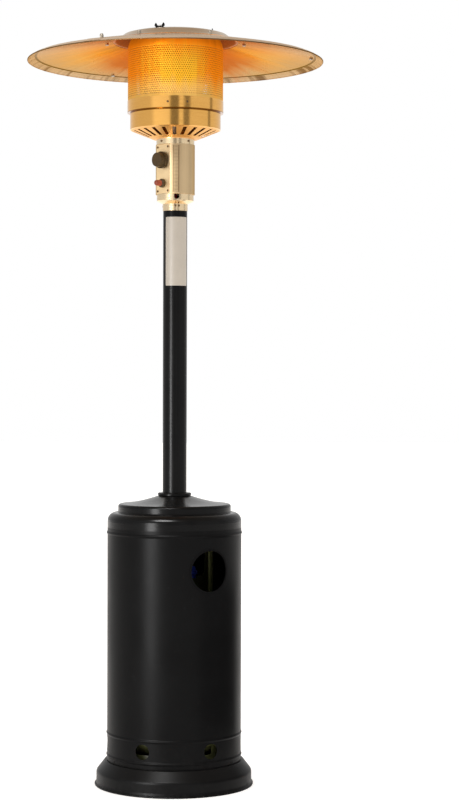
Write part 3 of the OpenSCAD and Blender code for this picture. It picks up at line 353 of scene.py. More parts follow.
def coords(tree, kind="Object"):
    return put(tree, "ShaderNodeTexCoord").outputs[kind]


def apart(tree, vector):
    """X, Y and Z of a vector."""
    return put(tree, "ShaderNodeSeparateXYZ", {0: vector}).outputs


def cloud(tree, place, scale, detail, rough=0.5):
    """Values of a noise."""
    inputs = {"Vector": place, "Scale": scale, "Detail": detail, "Roughness": rough}
    return put(tree, "ShaderNodeTexNoise", inputs).outputs[0]


def solid(value):
    """A colour with alpha, or a socket as it is."""
    return value if isinstance(value, bpy.types.NodeSocket) else (*value[:3], 1)


def shade(tint, factor, lift=0.0):
    """A darker or lighter colour."""
    return [min(c * factor + lift, 1) for c in tint]


def mix_colour(tree, factor, a, b):
    """Colour b over colour a, as far as the factor says."""
    return put(tree, "ShaderNodeMix", {0: factor, 6: solid(a), 7: solid(b)}, data_type="RGBA").outputs[2]


def brighten(tree, tint, factor):
    return put(tree, "ShaderNodeVectorMath", {0: tint, "Scale": factor}, operation="SCALE").outputs[0]


def ramp(tree, value, stops):
    """Colours along a value, from (place, colour) stops."""
    made = put(tree, "ShaderNodeValToRGB", {"Fac": value})
    elements = made.color_ramp.elements
    while len(elements) < len(stops):
        elements.new(0.5)
    for element, (place, tint) in zip(elements, stops):
        element.position = place
        element.color = solid(tint)
    return made.outputs["Color"]


def bump(tree, height, strength, distance):
    inputs = {"Height": height, "Strength": strength, "Distance": distance}
    return put(tree, "ShaderNodeBump", inputs).outputs[0]


def group(name, inputs, outputs):
    """An empty node group, with the sockets inside it that give and take values."""
    tree = bpy.data.node_groups.new(name, "ShaderNodeTree")
    for label, default in inputs:
        socket = tree.interface.new_socket(label, in_out="INPUT", socket_type="NodeSocketFloat")
        socket.default_value = default
    for label in outputs:
        tree.interface.new_socket(label, in_out="OUTPUT", socket_type="NodeSocketFloat")
    return tree, tree.nodes.new("NodeGroupInput").outputs, tree.nodes.new("NodeGroupOutput").inputs


def use(tree, name, **values):
    """Places a shared group."""
    made = tree.nodes.new("ShaderNodeGroup")
    made.node_tree = bpy.data.node_groups[name]
    for key, value in values.items():
        made.inputs[key].default_value = value
    return made.outputs


def sheet_lines(tree, around, across, up):
    return use(tree, "Sheet lines", Around=around, Across=across, Up=up)["Lines"]


def heat_tint(tree, cool, hot):
    return use(tree, "Heat tint", Cool=cool, Hot=hot)["Heat"]


def scuffs_of(tree, size, share):
    return use(tree, "Scuffs", Size=size, Share=share)["Scuffs"]


# Shared effects


def make_place_group():
    """Where a point lies round the post: its direction, reach and height."""
    tree, _, out = group("Place round the post", [], ["East", "North", "Reach", "Height"])
    parts = apart(tree, coords(tree))
    flat = put(tree, "ShaderNodeCombineXYZ", {"X": parts["X"], "Y": parts["Y"]}).outputs[0]
    reach = put(tree, "ShaderNodeVectorMath", {0: flat}, operation="LENGTH").outputs["Value"]
    way = apart(tree, put(tree, "ShaderNodeVectorMath", {0: flat}, operation="NORMALIZE").outputs["Vector"])
    feed(tree, out, {"East": way["X"], "North": way["Y"], "Reach": reach, "Height": parts["Z"]})


def make_grain_group():
    """Fine grain of a powder coat or a moulding, with slow mottling."""
    tree, given, out = group("Grain", [("Fine", 1500.0), ("Broad", 9.0)], ["Fine", "Mottle"])
    place = coords(tree)
    fine = cloud(tree, place, given["Fine"], 2.0)
    feed(tree, out, {"Fine": fine, "Mottle": cloud(tree, place, given["Broad"], 5.0, 0.6)})


def make_lines_group():
    """Lines of rolled, turned or drawn sheet, closer together where a scale is larger."""
    tree, given, out = group("Sheet lines", [("Around", 4.0), ("Across", 0.0), ("Up", 400.0)], ["Lines"])
    place = use(tree, "Place round the post")
    across, up = times(tree, place["Reach"], given["Across"]), times(tree, place["Height"], given["Up"])
    spot = put(tree, "ShaderNodeCombineXYZ", {
        "X": times(tree, place["East"], given["Around"]),
        "Y": times(tree, place["North"], given["Around"]),
        "Z": plus(tree, across, up),
    }).outputs[0]
    feed(tree, out, {"Lines": cloud(tree, spot, 1.0, 4.0, 0.65)})


def make_dust_group():
    """Dust that settles low down and thins out with height."""
    tree, given, out = group("Settled dust", [("Level", 0.0), ("Reach", 0.1)], ["Dust"])
    place = coords(tree)
    rise = maths(tree, "DIVIDE", minus(tree, apart(tree, place)["Z"], given["Level"]), given["Reach"])
    low = maths(tree, "SUBTRACT", 1.0, rise, clamp=True)
    patches = spread(tree, cloud(tree, place, 60.0, 6.0, 0.7), 0.42, 0.7)
    feed(tree, out, {"Dust": times(tree, low, patches)})


def make_heat_group():
    """Heat tint that grows between two heights, with a wandering edge."""
    tree, given, out = group("Heat tint", [("Cool", 1.8), ("Hot", 2.0)], ["Heat"])
    place = coords(tree)
    height = sway(tree, apart(tree, place)["Z"], cloud(tree, place, 22.0, 3.0), 0.03)
    above, span = minus(tree, height, given["Cool"]), minus(tree, given["Hot"], given["Cool"])
    feed(tree, out, {"Heat": maths(tree, "DIVIDE", above, span, clamp=True)})


def make_scuff_group():
    """Sparse short scuffs and rubbed spots."""
    tree, given, out = group("Scuffs", [("Size", 40.0), ("Share", 0.3)], ["Scuffs"])
    spots = cloud(tree, coords(tree), given["Size"], 8.0, 0.75)
    edge = minus(tree, 1.0, given["Share"])
    feed(tree, out, {"Scuffs": spread(tree, spots, times(tree, edge, 0.85), edge)})


# Finishes


def finish(name, settings):
    """A new material with its shader, whose constant values are set on the shader itself."""
    made = bpy.data.materials.new(name)
    made.use_nodes = True
    shader = made.node_tree.nodes["Principled BSDF"]
    for key, value in settings.items():
        shader.inputs[key].default_value = value
    return made, made.node_tree, shader.inputs


def powder_coat(name, tint, rough=0.36, gloss=0.05, dust_level=-1.0, dust_reach=0.1, shine=0.0):
    """Satin black powder coat with orange peel, mottling, dust low down and polish where it lies flat."""
    made, tree, shader = finish(name, {"Specular IOR Level": gloss})
    grain = use(tree, "Grain", Fine=1500.0, Broad=7.0)
    dust = use(tree, "Settled dust", Level=dust_level, Reach=dust_reach)["Dust"]
    clean = mix_colour(tree, spread(tree, grain["Mottle"], 0.35, 0.7), tint, shade(tint, 1.3))
    marked = mix_colour(tree, times(tree, scuffs_of(tree, 55.0, 0.30), 0.05), clean, SCUFF)
    matt = vary(tree, grain["Mottle"], rough - 0.04, rough + 0.05)
    feed(tree, shader, {
        "Base Color": mix_colour(tree, times(tree, dust, 0.06), marked, DUST),
        "Roughness": plus(tree, matt, times(tree, dust, 0.2)),
        "Normal": bump(tree, grain["Fine"], 0.10, 0.0004),
    })
    if shine:
        upward = apart(tree, coords(tree, "Normal"))["Z"]
        feed(tree, shader, {"Coat Weight": spread(tree, upward, *FLAT, 0.0, shine)})
        shader["Coat Roughness"].default_value = POLISH_ROUGH
        shader["Coat IOR"].default_value = POLISH_IOR
    return made


def sheet_metal(name, tint, shadow, rough, scales, heat=None, joint=None, dull=None, edge=(1, 1, 1)):
    """Bare sheet with the lines that its rolling or turning left, by their scales around, across and up.

    heat is two heights between which it is tinted, joint the height of a joint with a painted shade line just
    below it, and dull the height below which it is duller and carries a painted shade. edge tints what it
    mirrors at a slant.
    """
    made, tree, shader = finish(name, {"Metallic": 1.0, "Specular Tint": solid(edge)})
    lines = sheet_lines(tree, *scales)
    mottle = use(tree, "Grain", Fine=700.0, Broad=14.0)["Mottle"]
    tone = mix_colour(tree, vary(tree, lines, 0.0, 0.55), tint, shadow)
    tone = mix_colour(tree, spread(tree, mottle, 0.4, 0.75, 0.0, 0.22), tone, shadow)
    matt = vary(tree, lines, rough - 0.03, rough + 0.05)
    matt = plus(tree, matt, times(tree, scuffs_of(tree, 90.0, 0.30), 0.12))
    if heat:
        tone = mix_colour(tree, times(tree, heat_tint(tree, *heat), 0.6), tone, HEATED)
    height = use(tree, "Place round the post")["Height"] if joint or dull else None
    if joint:
        # Painted shade line just below the joint
        off = maths(tree, "ABSOLUTE", minus(tree, height, joint - JOINT_DROP))
        tone = mix_colour(tree, spread(tree, off, *JOINT_FADE), tone, JOINT_SHADE)
    if dull:
        # Below that height the sheet is rougher and carries a painted shade on the pan's downward cone
        low = spread(tree, height, dull, dull - CONE_FADE)
        matt = plus(tree, matt, times(tree, low, 0.30))
        tone = mix_colour(tree, times(tree, low, 0.6), tone, CONE_SHADE)
    feed(tree, shader, {"Base Color": tone, "Roughness": matt, "Normal": bump(tree, lines, 0.06, 0.0003)})
    return made


def moulding(name, tint, rough, fine=900.0, depth=0.15, gloss=0.45):
    """Moulded plastic or rubber with its skin texture and handling marks."""
    made, tree, shader = finish(name, {"Specular IOR Level": gloss})
    grain = use(tree, "Grain", Fine=fine, Broad=40.0)
    worn = spread(tree, grain["Mottle"], 0.3, 0.75, 0.0, 0.5)
    tone = mix_colour(tree, worn, tint, shade(tint, 1.4, 0.004))
    scuffs = times(tree, scuffs_of(tree, 160.0, 0.34), 0.15)
    feed(tree, shader, {
        "Base Color": mix_colour(tree, scuffs, tone, shade(tint, 2, 0.02)),
        "Roughness": vary(tree, grain["Mottle"], rough - 0.06, rough + 0.08),
        "Normal": bump(tree, grain["Fine"], depth, 0.0004),
    })
    return made


def enamel(name, tint, rough):
    """Brushed-on paint over steel: slow waves, paler drips and small chips."""
    made, tree, shader = finish(name, {"Specular IOR Level": 0.5})
    grain = use(tree, "Grain", Fine=260.0, Broad=11.0)
    drips = spread(tree, sheet_lines(tree, 14.0, 0.0, 4.0), 0.45, 0.75, 0.0, 0.4)
    chips = scuffs_of(tree, 120.0, 0.285)
    tone = mix_colour(tree, vary(tree, grain["Mottle"], 0.0, 0.6), tint, shade(tint, 0.8))
    tone = mix_colour(tree, drips, tone, shade(tint, 1.25))
    matt = vary(tree, grain["Mottle"], rough - 0.05, rough + 0.08)
    feed(tree, shader, {
        "Base Color": mix_colour(tree, times(tree, chips, 0.5), tone, CHIP),
        "Roughness": plus(tree, matt, times(tree, chips, 0.2)),
        "Normal": bump(tree, grain["Fine"], 0.08, 0.0006),
    })
    return made


def hot_sheet(name, colours):
    """Glowing emitter: beige above the band, yellow in front and behind, orange on top, painted deeper orange
    at the sides.
    """
    made, tree, shader = finish(
        name, {"Metallic": 1.0, "Emission Strength": 1.0, "Specular Tint": solid(EMITTER_EDGE)}
    )
    place = use(tree, "Place round the post")
    broad, fine = sheet_lines(tree, 5.0, 0.0, 3.0), sheet_lines(tree, 40.0, 0.0, 3.0)
    rise = spread(tree, sway(tree, place["Height"], broad, 0.09), BAND_HIGH.z, TOP_LOW.z)
    pale, mid, top = colours.glow_low, colours.glow_mid, colours.glow_high
    front = ramp(tree, rise, [
        (0.0, shade(pale, 0.8)), (0.14, pale), (0.34, mid),
        (0.6, shade(mid, 0.85)), (0.9, top), (1.0, shade(top, 0.6)),
    ])
    # Painted deeper orange for the sides, standing for the glowing sheet seen at a slant
    slant_glow = ramp(tree, rise, [
        (0.0, shade(pale, 0.7)), (0.16, SLANT_GLOW), (0.36, top), (0.8, shade(top, 0.8)), (1.0, shade(top, 0.45)),
    ])
    facing = maths(tree, "ABSOLUTE", place["North"])
    side = spread(tree, sway(tree, facing, broad, 0.9), *SLANT_GLOW_EDGE)
    glow = mix_colour(tree, side, front, slant_glow)
    lit, cast = brighten(tree, glow, vary(tree, fine, 0.85, 1.12)), brighten(tree, glow, CAST)
    seen = put(tree, "ShaderNodeLightPath").outputs["Is Camera Ray"]
    feed(tree, shader, {
        "Emission Color": mix_colour(tree, seen, cast, lit),
        "Base Color": mix_colour(tree, vary(tree, fine), EMITTER, EMITTER_SHADE),
        "Roughness": vary(tree, broad, 0.35, 0.5),
    })
    return made


def dish_sheet(name, tint, over, edge):
    """Rolled sheet of the dish, with a dark rim.

    Below, it carries a painted orange glow of the emitter, with painted shade right beside it, painted shade
    round the emitter's top and towards the rear, a painted shade line in the crease where the lip is folded,
    and painted dark reflection streaks on the lip.
    """
    made, tree, shader = finish(name, {"Specular Tint": solid(edge), "Specular IOR Level": 0.0})
    place = use(tree, "Place round the post")
    reach, north = place["Reach"], place["North"]
    rolled, rays = sheet_lines(tree, 5.0, 380.0, 0.0), sheet_lines(tree, 7.0, 1.5, 0.0)
    fine_rays = spread(tree, sheet_lines(tree, 60.0, 2.0, 0.0), 0.35, 0.7, 0.0, 0.3)

    facing = apart(tree, coords(tree, "Normal"))
    outward = plus(tree, times(tree, facing["X"], place["East"]), times(tree, facing["Y"], north))
    below = larger(tree, spread(tree, facing["Z"], 0.05, -0.15), spread(tree, outward, -0.1, -0.3))

    wavy = sway(tree, reach, rays, 0.16)
    # Painted orange glow of the emitter under the dish, with painted shade right beside the emitter
    painted_glow = ramp(tree, spread(tree, wavy, *PAINTED_GLOW_REACH), [*PAINTED_DISH_GLOW, (0.85, tint), (1.0, tint)])
    streaked = mix_colour(tree, fine_rays, painted_glow, shade(tint, 0.6))
    # Painted shade line in the crease where the lip is folded, under the dish
    crease = times(tree, spread(tree, reach, *CREASE_IN), spread(tree, reach, *CREASE_OUT))
    tone = mix_colour(tree, below, over, mix_colour(tree, crease, streaked, CREASE_SHADE))
    tone = mix_colour(tree, spread(tree, reach, *RIM_IN), tone, RIM)

    # Painted shade under the dish towards the rear, reaching farther out behind the emitter
    rearward = minus(tree, wavy, times(tree, north, REAR_SHADE_REACH))
    rearward = spread(tree, rearward, *REAR_SHADE_OUT, 0.0, 0.92)
    rear_shade = times(tree, below, times(tree, rearward, spread(tree, north, 0.4, 0.8)))
    # Painted shade in a ring round the emitter's top, under the dome
    ring = times(tree, below, spread(tree, reach, *RING_SHADE_OUT, 0.0, 0.9))
    painted_shade = larger(tree, rear_shade, ring)
    tone = mix_colour(tree, rear_shade, tone, REAR_SHADE)
    # Painted dark reflection streaks on the lip, under the dish
    on_lip = spread(tree, reach, *LIP_REFLECTION_IN)
    lip_reflection = times(tree, below, times(tree, on_lip, spread(tree, rays, 0.50, 0.62, 0.0, 0.8)))
    tone = mix_colour(tree, lip_reflection, tone, LIP_REFLECTION)
    tone = mix_colour(tree, vary(tree, rolled, 0.0, 0.2), tone, shade(tint, 0.7))

    matt = plus(tree, vary(tree, rolled, 0.14, 0.22), times(tree, scuffs_of(tree, 90.0, 0.30), 0.12))
    matt = plus(tree, matt, spread(tree, reach, *LIP_IN, 0.0, 0.28))
    # The painted shade at the rear and round the emitter's top is made non-metal and rougher
    feed(tree, shader, {
        "Base Color": mix_colour(tree, ring, tone, RING_SHADE),
        "Metallic": minus(tree, 1.0, painted_shade),
        "Roughness": plus(tree, matt, times(tree, painted_shade, 0.4)),
        "Normal": bump(tree, rolled, 0.05, 0.0003),
    })
    return made


def hot_burner(name):
    """Burner steel that glows towards its rim."""
    made, tree, shader = finish(name, {"Metallic": 1.0, "Emission Strength": 1.0})
    warmth = heat_tint(tree, *BURNER_HEAT)
    lines = sheet_lines(tree, 30.0, 0.0, 60.0)
    feed(tree, shader, {
        "Emission Color": ramp(tree, warmth, BURNER_GLOW),
        "Base Color": mix_colour(tree, lines, BURNER, BURNER_SHADE),
        "Roughness": vary(tree, lines, 0.35, 0.55),
    })
    return made


def wound_rubber(name, tint):
    """Rubber of the gas hose with a faint wrap and a dull bloom."""
    made, tree, shader = finish(name, {"Specular IOR Level": 0.4})
    mottle = use(tree, "Grain", Fine=500.0, Broad=30.0)["Mottle"]
    wrap = sheet_lines(tree, 3.0, 300.0, 600.0)
    feed(tree, shader, {
        "Base Color": mix_colour(tree, vary(tree, mottle, 0.0, 0.6), tint, shade(tint, 0.6)),
        "Roughness": vary(tree, wrap, 0.38, 0.55),
        "Normal": bump(tree, wrap, 0.2, 0.0004),
    })
    return made


def plate_sheet(name, tint):
    """Matt plate with faint mottling and fine lines."""
    made, tree, shader = finish(name, {})
    mottle = use(tree, "Grain", Fine=1200.0, Broad=25.0)["Mottle"]
    lines = sheet_lines(tree, 2.0, 0.0, 900.0)
    tone = mix_colour(tree, vary(tree, mottle, 0.0, 0.35), tint, shade(tint, 0.86))
    feed(tree, shader, {
        "Base Color": mix_colour(tree, spread(tree, lines, 0.4, 0.7, 0.0, 0.25), tone, shade(tint, 0.8)),
        "Roughness": vary(tree, lines, 0.34, 0.5),
    })
    return made


def coat(material, *names):
    """Gives CAD nodes a material."""
    for name in names:
        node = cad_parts[name]
        if node.material_slots:
            for slot in node.material_slots:
                slot.material = material
        else:
            node.data.materials.append(material)


# Mesh helpers


def piece(name, mesh, material, body):
    """Links a finished mesh as a piece that rides on a body."""
    mesh.name = name
    made = bpy.data.objects.new(name, mesh)
    bpy.context.scene.collection.objects.link(made)
    mesh.materials.append(material)
    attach(made, body)
    return made


def thicken(made, thickness, side):
    """Gives a sheet its thickness, outwards at 1 and inwards at -1."""
    thick = made.modifiers.new("Thickness", "SOLIDIFY")
    thick.thickness = thickness
    thick.offset = side
    return thick


def ring_point(reach, turn, height):
    """A point at an angle from the front towards the right."""
    return Vector((reach * math.sin(turn), -reach * math.cos(turn), height))


def mesh_from(bm, smooth=True):
    """A mesh of the faces built so far, turned outwards."""
    mesh = bpy.data.meshes.new("mesh")
    bmesh.ops.recalc_face_normals(bm, faces=bm.faces)
    bm.to_mesh(mesh)
    bm.free()
    if smooth:
        mesh.polygons.foreach_set("use_smooth", [True] * len(mesh.polygons))
    return mesh


def perforated_tube(profile, columns, rows, share, low, high):
    """A turned sheet from its profile, with staggered eight-sided holes between two heights."""
    bm = bmesh.new()
    step = math.tau / columns
    reach = profile[0][0]
    pitch = (high - low) / rows
    spots = {}

    def at(radius, turn, height):
        """The vertex at a place, which its neighbours share."""
        key = (round(radius, 6), round(turn / step * 4) % (columns * 4), round(height, 6))
        if key not in spots:
            spots[key] = bm.verts.new(ring_point(radius, turn, height))
        return spots[key]

    square = [(-1, -1), (0, -1), (1, -1), (1, 0), (1, 1), (0, 1), (-1, 1), (-1, 0)]
    sides = len(square)
    ways = [math.radians(k * 45 - 135) for k in range(sides)]
    for row in range(rows):
        height = low + (row + 0.5) * pitch
        for column in range(columns):
            turn = (column + (0.5 if row % 2 else 0.0)) * step
            outer = [at(reach, turn + x * step / 2, height + y * pitch / 2) for x, y in square]
            inner = [
                bm.verts.new(ring_point(
                    reach, turn + math.cos(way) * share * step / 2, height + math.sin(way) * share * pitch / 2
                ))
                for way in ways
            ]
            for k in range(sides):
                after = (k + 1) % sides
                bm.faces.new((outer[k], outer[after], inner[after], inner[k]))
    lower = [p for p in profile if p[1] < low] + [(reach, low)]
    upper = [(reach, high)] + [p for p in profile if p[1] > high]
    for part in (lower, upper):
        for (r0, z0), (r1, z1) in zip(part, part[1:]):
            for k in range(columns * 2):
                a, b = k * step / 2, (k + 1) * step / 2
                bm.faces.new((at(r0, a, z0), at(r0, b, z0), at(r1, b, z1), at(r1, a, z1)))
    return mesh_from(bm)


def curved_plate(reach, turn_low, turn_high, low, high, corner):
    """A sheet bent round the post, with round corners."""
    bm = bmesh.new()
    middle = (turn_low + turn_high) / 2
    half = (turn_high - turn_low) / 2
    corner_step, upright_steps, half_columns = 18, 12, 14
    levels = [corner * (1 - math.cos(math.radians(a))) for a in range(0, 91, corner_step)]
    upright = high - low - 2 * corner
    heights = [low + d for d in levels]
    heights += [low + corner + upright * i / upright_steps for i in range(1, upright_steps)]
    heights += [high - d for d in reversed(levels)]
    columns = 2 * half_columns
    rows = []
    for height in heights:
        edge = min(height - low, high - height)
        inside = max(corner - edge, 0)
        pull = corner - math.sqrt(max(corner ** 2 - inside ** 2, 0)) if edge < corner else 0.0
        width = half - pull / reach
        turns = [middle + width * (i / half_columns - 1) for i in range(columns + 1)]
        rows.append([bm.verts.new(ring_point(reach, turn, height)) for turn in turns])
    for lower, upper in zip(rows, rows[1:]):
        for i in range(columns):
            bm.faces.new((lower[i], lower[i + 1], upper[i + 1], upper[i]))
    return mesh_from(bm)


def ladder_seam(reach, turn_low, turn_high, low, high, rungs):
    """A folded seam up the shell: two ribs with small rungs between them."""
    bm = bmesh.new()
    slices, sunk = 3, 0.0001
    left_wide, left_rise = 0.0016, 0.0005
    right_wide, right_rise = 0.0024, 0.0006
    # A rung's distances from the seam's edges, its rise, and half its height over the pitch
    rung_left, rung_right, rung_rise, rung_half = 0.002, 0.0032, 0.0003, 0.14

    def bar(turn_from, turn_to, z0, z1, proud):
        """A bar that stands proud of the shell, with sloped ends."""
        layers = []
        for radius, trim in ((reach - sunk, 0.0), (reach + proud, proud * 0.5)):
            turns = [turn_from + (turn_to - turn_from) * i / slices for i in range(slices + 1)]
            layers.append([
                [bm.verts.new(ring_point(radius, turn, z)) for turn in turns] for z in (z0 + trim, z1 - trim)
            ])
        (a, b), (c, d) = layers
        for i in range(slices):
            bm.faces.new((c[i], c[i + 1], d[i + 1], d[i]))
            bm.faces.new((a[i], b[i], b[i + 1], a[i + 1]))
            bm.faces.new((a[i], a[i + 1], c[i + 1], c[i]))
            bm.faces.new((b[i], d[i], d[i + 1], b[i + 1]))
        bm.faces.new((a[0], c[0], d[0], b[0]))
        bm.faces.new((a[-1], b[-1], d[-1], c[-1]))

    bar(turn_low, turn_low + left_wide / reach, low, high, left_rise)
    bar(turn_high - right_wide / reach, turn_high, low, high, right_rise)
    pitch = (high - low) / rungs
    ends = turn_low + rung_left / reach, turn_high - rung_right / reach
    for i in range(rungs):
        middle = low + (i + 0.5) * pitch
        bar(*ends, middle - pitch * rung_half, middle + pitch * rung_half, rung_rise)
    return mesh_from(bm, smooth=False)


# Operators


class HEATER_OT_stage(bpy.types.Operator):
    """Sets up the camera, the pale floor and the soft studio light"""

    bl_idname = "heater.stage"
    bl_label = "Stage"

    def execute(self, context):
        scene = context.scene
        scene.view_settings.view_transform = "Standard"
        scene.view_settings.look = "None"
        self.place_camera(scene)
        self.lay_floor()
        self.light_room(scene)
        for box in SOFT_BOXES:
            self.hang_box(scene, *box)
        self.hang_sky(scene)
        self.stand_flag(scene)
        return {"FINISHED"}

    def place_camera(self, scene):
        """A camera in front, as the settings place it."""
        studio = scene.heater_studio
        lens = bpy.data.cameras.new("Camera")
        lens.sensor_fit = "VERTICAL"
        lens.sensor_height = FRAME_H
        lens.lens = studio.focus
        camera = bpy.data.objects.new("Camera", lens)
        camera.location = (studio.aside, -studio.distance, studio.height)
        camera.rotation_euler = (math.radians(90) - studio.tilt, -studio.roll, 0)
        scene.collection.objects.link(camera)
        scene.camera = camera

    def lay_floor(self):
        """A pale floor with some light of its own, except under the base."""
        bpy.ops.mesh.primitive_plane_add(size=FLOOR_SIZE)
        floor = bpy.context.object
        floor.name = "Floor"
        made, tree, shader = finish("Pale floor", {
            "Base Color": solid([FLOOR_TONE] * 3), "Roughness": 0.8, "Specular IOR Level": 0.1,
            "Emission Strength": FLOOR_LIGHT,
        })
        open_floor = spread(tree, use(tree, "Place round the post")["Reach"], BASE_R - FLOOR_FADE, BASE_R)
        feed(tree, shader, {"Emission Color": mix_colour(tree, open_floor, (0, 0, 0), (1, 1, 1))})
        floor.data.materials.append(made)

    def hang_box(self, scene, name, size, power, place, aim):
        """A soft box that neither the camera nor a matt surface sees."""
        lamp = bpy.data.lights.new(name, "AREA")
        lamp.shape = "RECTANGLE"
        lamp.size, lamp.size_y = size
        lamp.energy = power
        holder = bpy.data.objects.new(name, lamp)
        holder.location = place
        holder.rotation_euler = Vector(aim).to_track_quat("-Z", "Y").to_euler()
        holder.visible_camera = holder.visible_diffuse = False
        scene.collection.objects.link(holder)

    def hang_sky(self, scene):
        """Even light from above that keeps the floor white and its shadows soft."""
        lamp = bpy.data.lights.new("Top light", "SUN")
        lamp.energy = SUN_POWER
        lamp.angle = SUN_ANGLE
        holder = bpy.data.objects.new("Top light", lamp)
        holder.visible_glossy = False
        scene.collection.objects.link(holder)

    def stand_flag(self, scene):
        """A low dark card, seen only in reflections, that keeps the right side of the housing deep."""
        bm = bmesh.new()
        foot = [bm.verts.new(ring_point(FLAG_R, turn, FLAG_LOW)) for turn in FLAG_TURNS]
        head = [bm.verts.new(ring_point(FLAG_R, turn, FLAG_HIGH)) for turn in FLAG_TURNS]
        for i in range(len(FLAG_TURNS) - 1):
            bm.faces.new((foot[i], foot[i + 1], head[i + 1], head[i]))
        flag = bpy.data.objects.new("Flag", mesh_from(bm))
        made, _, _ = finish("Dark card", {
            "Base Color": solid([FLAG_TONE] * 3), "Roughness": 1.0, "Specular IOR Level": 0.0,
        })
        flag.data.materials.append(made)
        scene.collection.objects.link(flag)
        flag.visible_camera = flag.visible_diffuse = flag.visible_shadow = False

    def light_room(self, scene):
        """A bright room behind the heater, with light and dark cards in front. The camera sees white."""
        world = bpy.data.worlds.new("Studio")
        scene.world = world
        world.use_nodes = True
        tree = world.node_tree
        tree.nodes.clear()
        parts = apart(tree, coords(tree, "Generated"))
        turn = maths(tree, "ARCTAN2", parts["X"], times(tree, parts["Y"], -1.0))
        share = spread(tree, turn, -math.pi, math.pi)
        around = ramp(tree, share, [((a + 180) / 360, (v, v, v)) for a, v in ROOM])
        colours = mix_colour(tree, spread(tree, parts["Z"], 0.48, 0.85), around, CEILING)
        room = put(tree, "ShaderNodeBackground", {"Color": colours, "Strength": ROOM_STRENGTH})
        white = put(tree, "ShaderNodeBackground", {"Color": (1, 1, 1, 1), "Strength": 1.0})
        seen = put(tree, "ShaderNodeLightPath").outputs["Is Camera Ray"]
        both = put(tree, "ShaderNodeMixShader", {0: seen, 1: room.outputs[0], 2: white.outputs[0]})
        put(tree, "ShaderNodeOutputWorld", {"Surface": both.outputs[0]})


class HEATER_OT_hose(bpy.types.Operator):
    """Runs the gas hose from the regulator up inside the post"""

    bl_idname = "heater.hose"
    bl_label = "Gas hose"

    def execute(self, context):
        sizes = context.scene.heater_sizes
        points = self.smooth([Vector(p) for p in HOSE_ROUTE], HOSE_STEPS)
        line = bpy.data.curves.new("gas_hose_rubber", "CURVE")
        line.dimensions = "3D"
        line.bevel_depth = sizes.hose_d / 2
        line.bevel_resolution = HOSE_ROUND
        line.use_fill_caps = True
        spline = line.splines.new("POLY")
        spline.points.add(len(points) - 1)
        for spot, point in zip(spline.points, points):
            spot.co = (*point, 1)
        line.materials.append(wound_rubber("Hose rubber", context.scene.heater_colours.hose))
        hose = bpy.data.objects.new("gas_hose_rubber", line)
        context.scene.collection.objects.link(hose)
        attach(hose, "heater")
        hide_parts("gas_hose")
        return {"FINISHED"}

    def smooth(self, p, steps):
        """Points of a smooth curve through the route."""
        last = len(p) - 1
        found = []
        for i in range(last):
            a, b, c, d = p[max(i - 1, 0)], p[i], p[i + 1], p[min(i + 2, last)]
            slope, bend, twist = c - a, 2 * a - 5 * b + 4 * c - d, 3 * b - a - 3 * c + d
            for s in range(steps):
                t = s / steps
                found.append(0.5 * (2 * b + slope * t + bend * t ** 2 + twist * t ** 3))
        return found + [p[-1]]


class HEATER_OT_black_coat(bpy.types.Operator):
    """Coats the base, frame, post and tank housing"""

    bl_idname = "heater.black_coat"
    bl_label = "Black coat"

    def execute(self, context):
        tint = context.scene.heater_colours.coat
        coat(powder_coat("Base coat", tint, gloss=0.08, dust_level=0.0, dust_reach=0.05), "base_shell")
        coat(
            powder_coat("Frame coat", tint, dust_level=0.06, dust_reach=0.05),
            "left_leg", "right_leg", "rear_leg", "leg_feet", "hub_plate", "post_flange",
        )
        coat(powder_coat("Housing coat", tint, dust_level=0.06, dust_reach=0.08), "tank_housing")
        coat(powder_coat("Lid coat", tint, rough=0.24, gloss=0.09, shine=0.5), "housing_lid", "post_collar")
        coat(powder_coat("Post coat", tint, rough=0.24, gloss=0.10), "post")
        coat(powder_coat("Edge trim", tint, rough=0.6, gloss=0.03), "hand_hole_trim")
        return {"FINISHED"}


class HEATER_OT_bare_plate(bpy.types.Operator):
    """Puts the bare plate on the post"""

    bl_idname = "heater.bare_plate"
    bl_label = "Bare plate"

    def execute(self, context):
        sizes = context.scene.heater_sizes
        mesh = curved_plate(
            POST_R + PLATE_GAP, *PLATE_TURNS, sizes.plate_low, sizes.plate_high, sizes.plate_corner
        )
        made = plate_sheet("Plate sheet", context.scene.heater_colours.plate)
        thicken(piece("post_plate", mesh, made, "heater"), PLATE_THICK, 1)
        return {"FINISHED"}


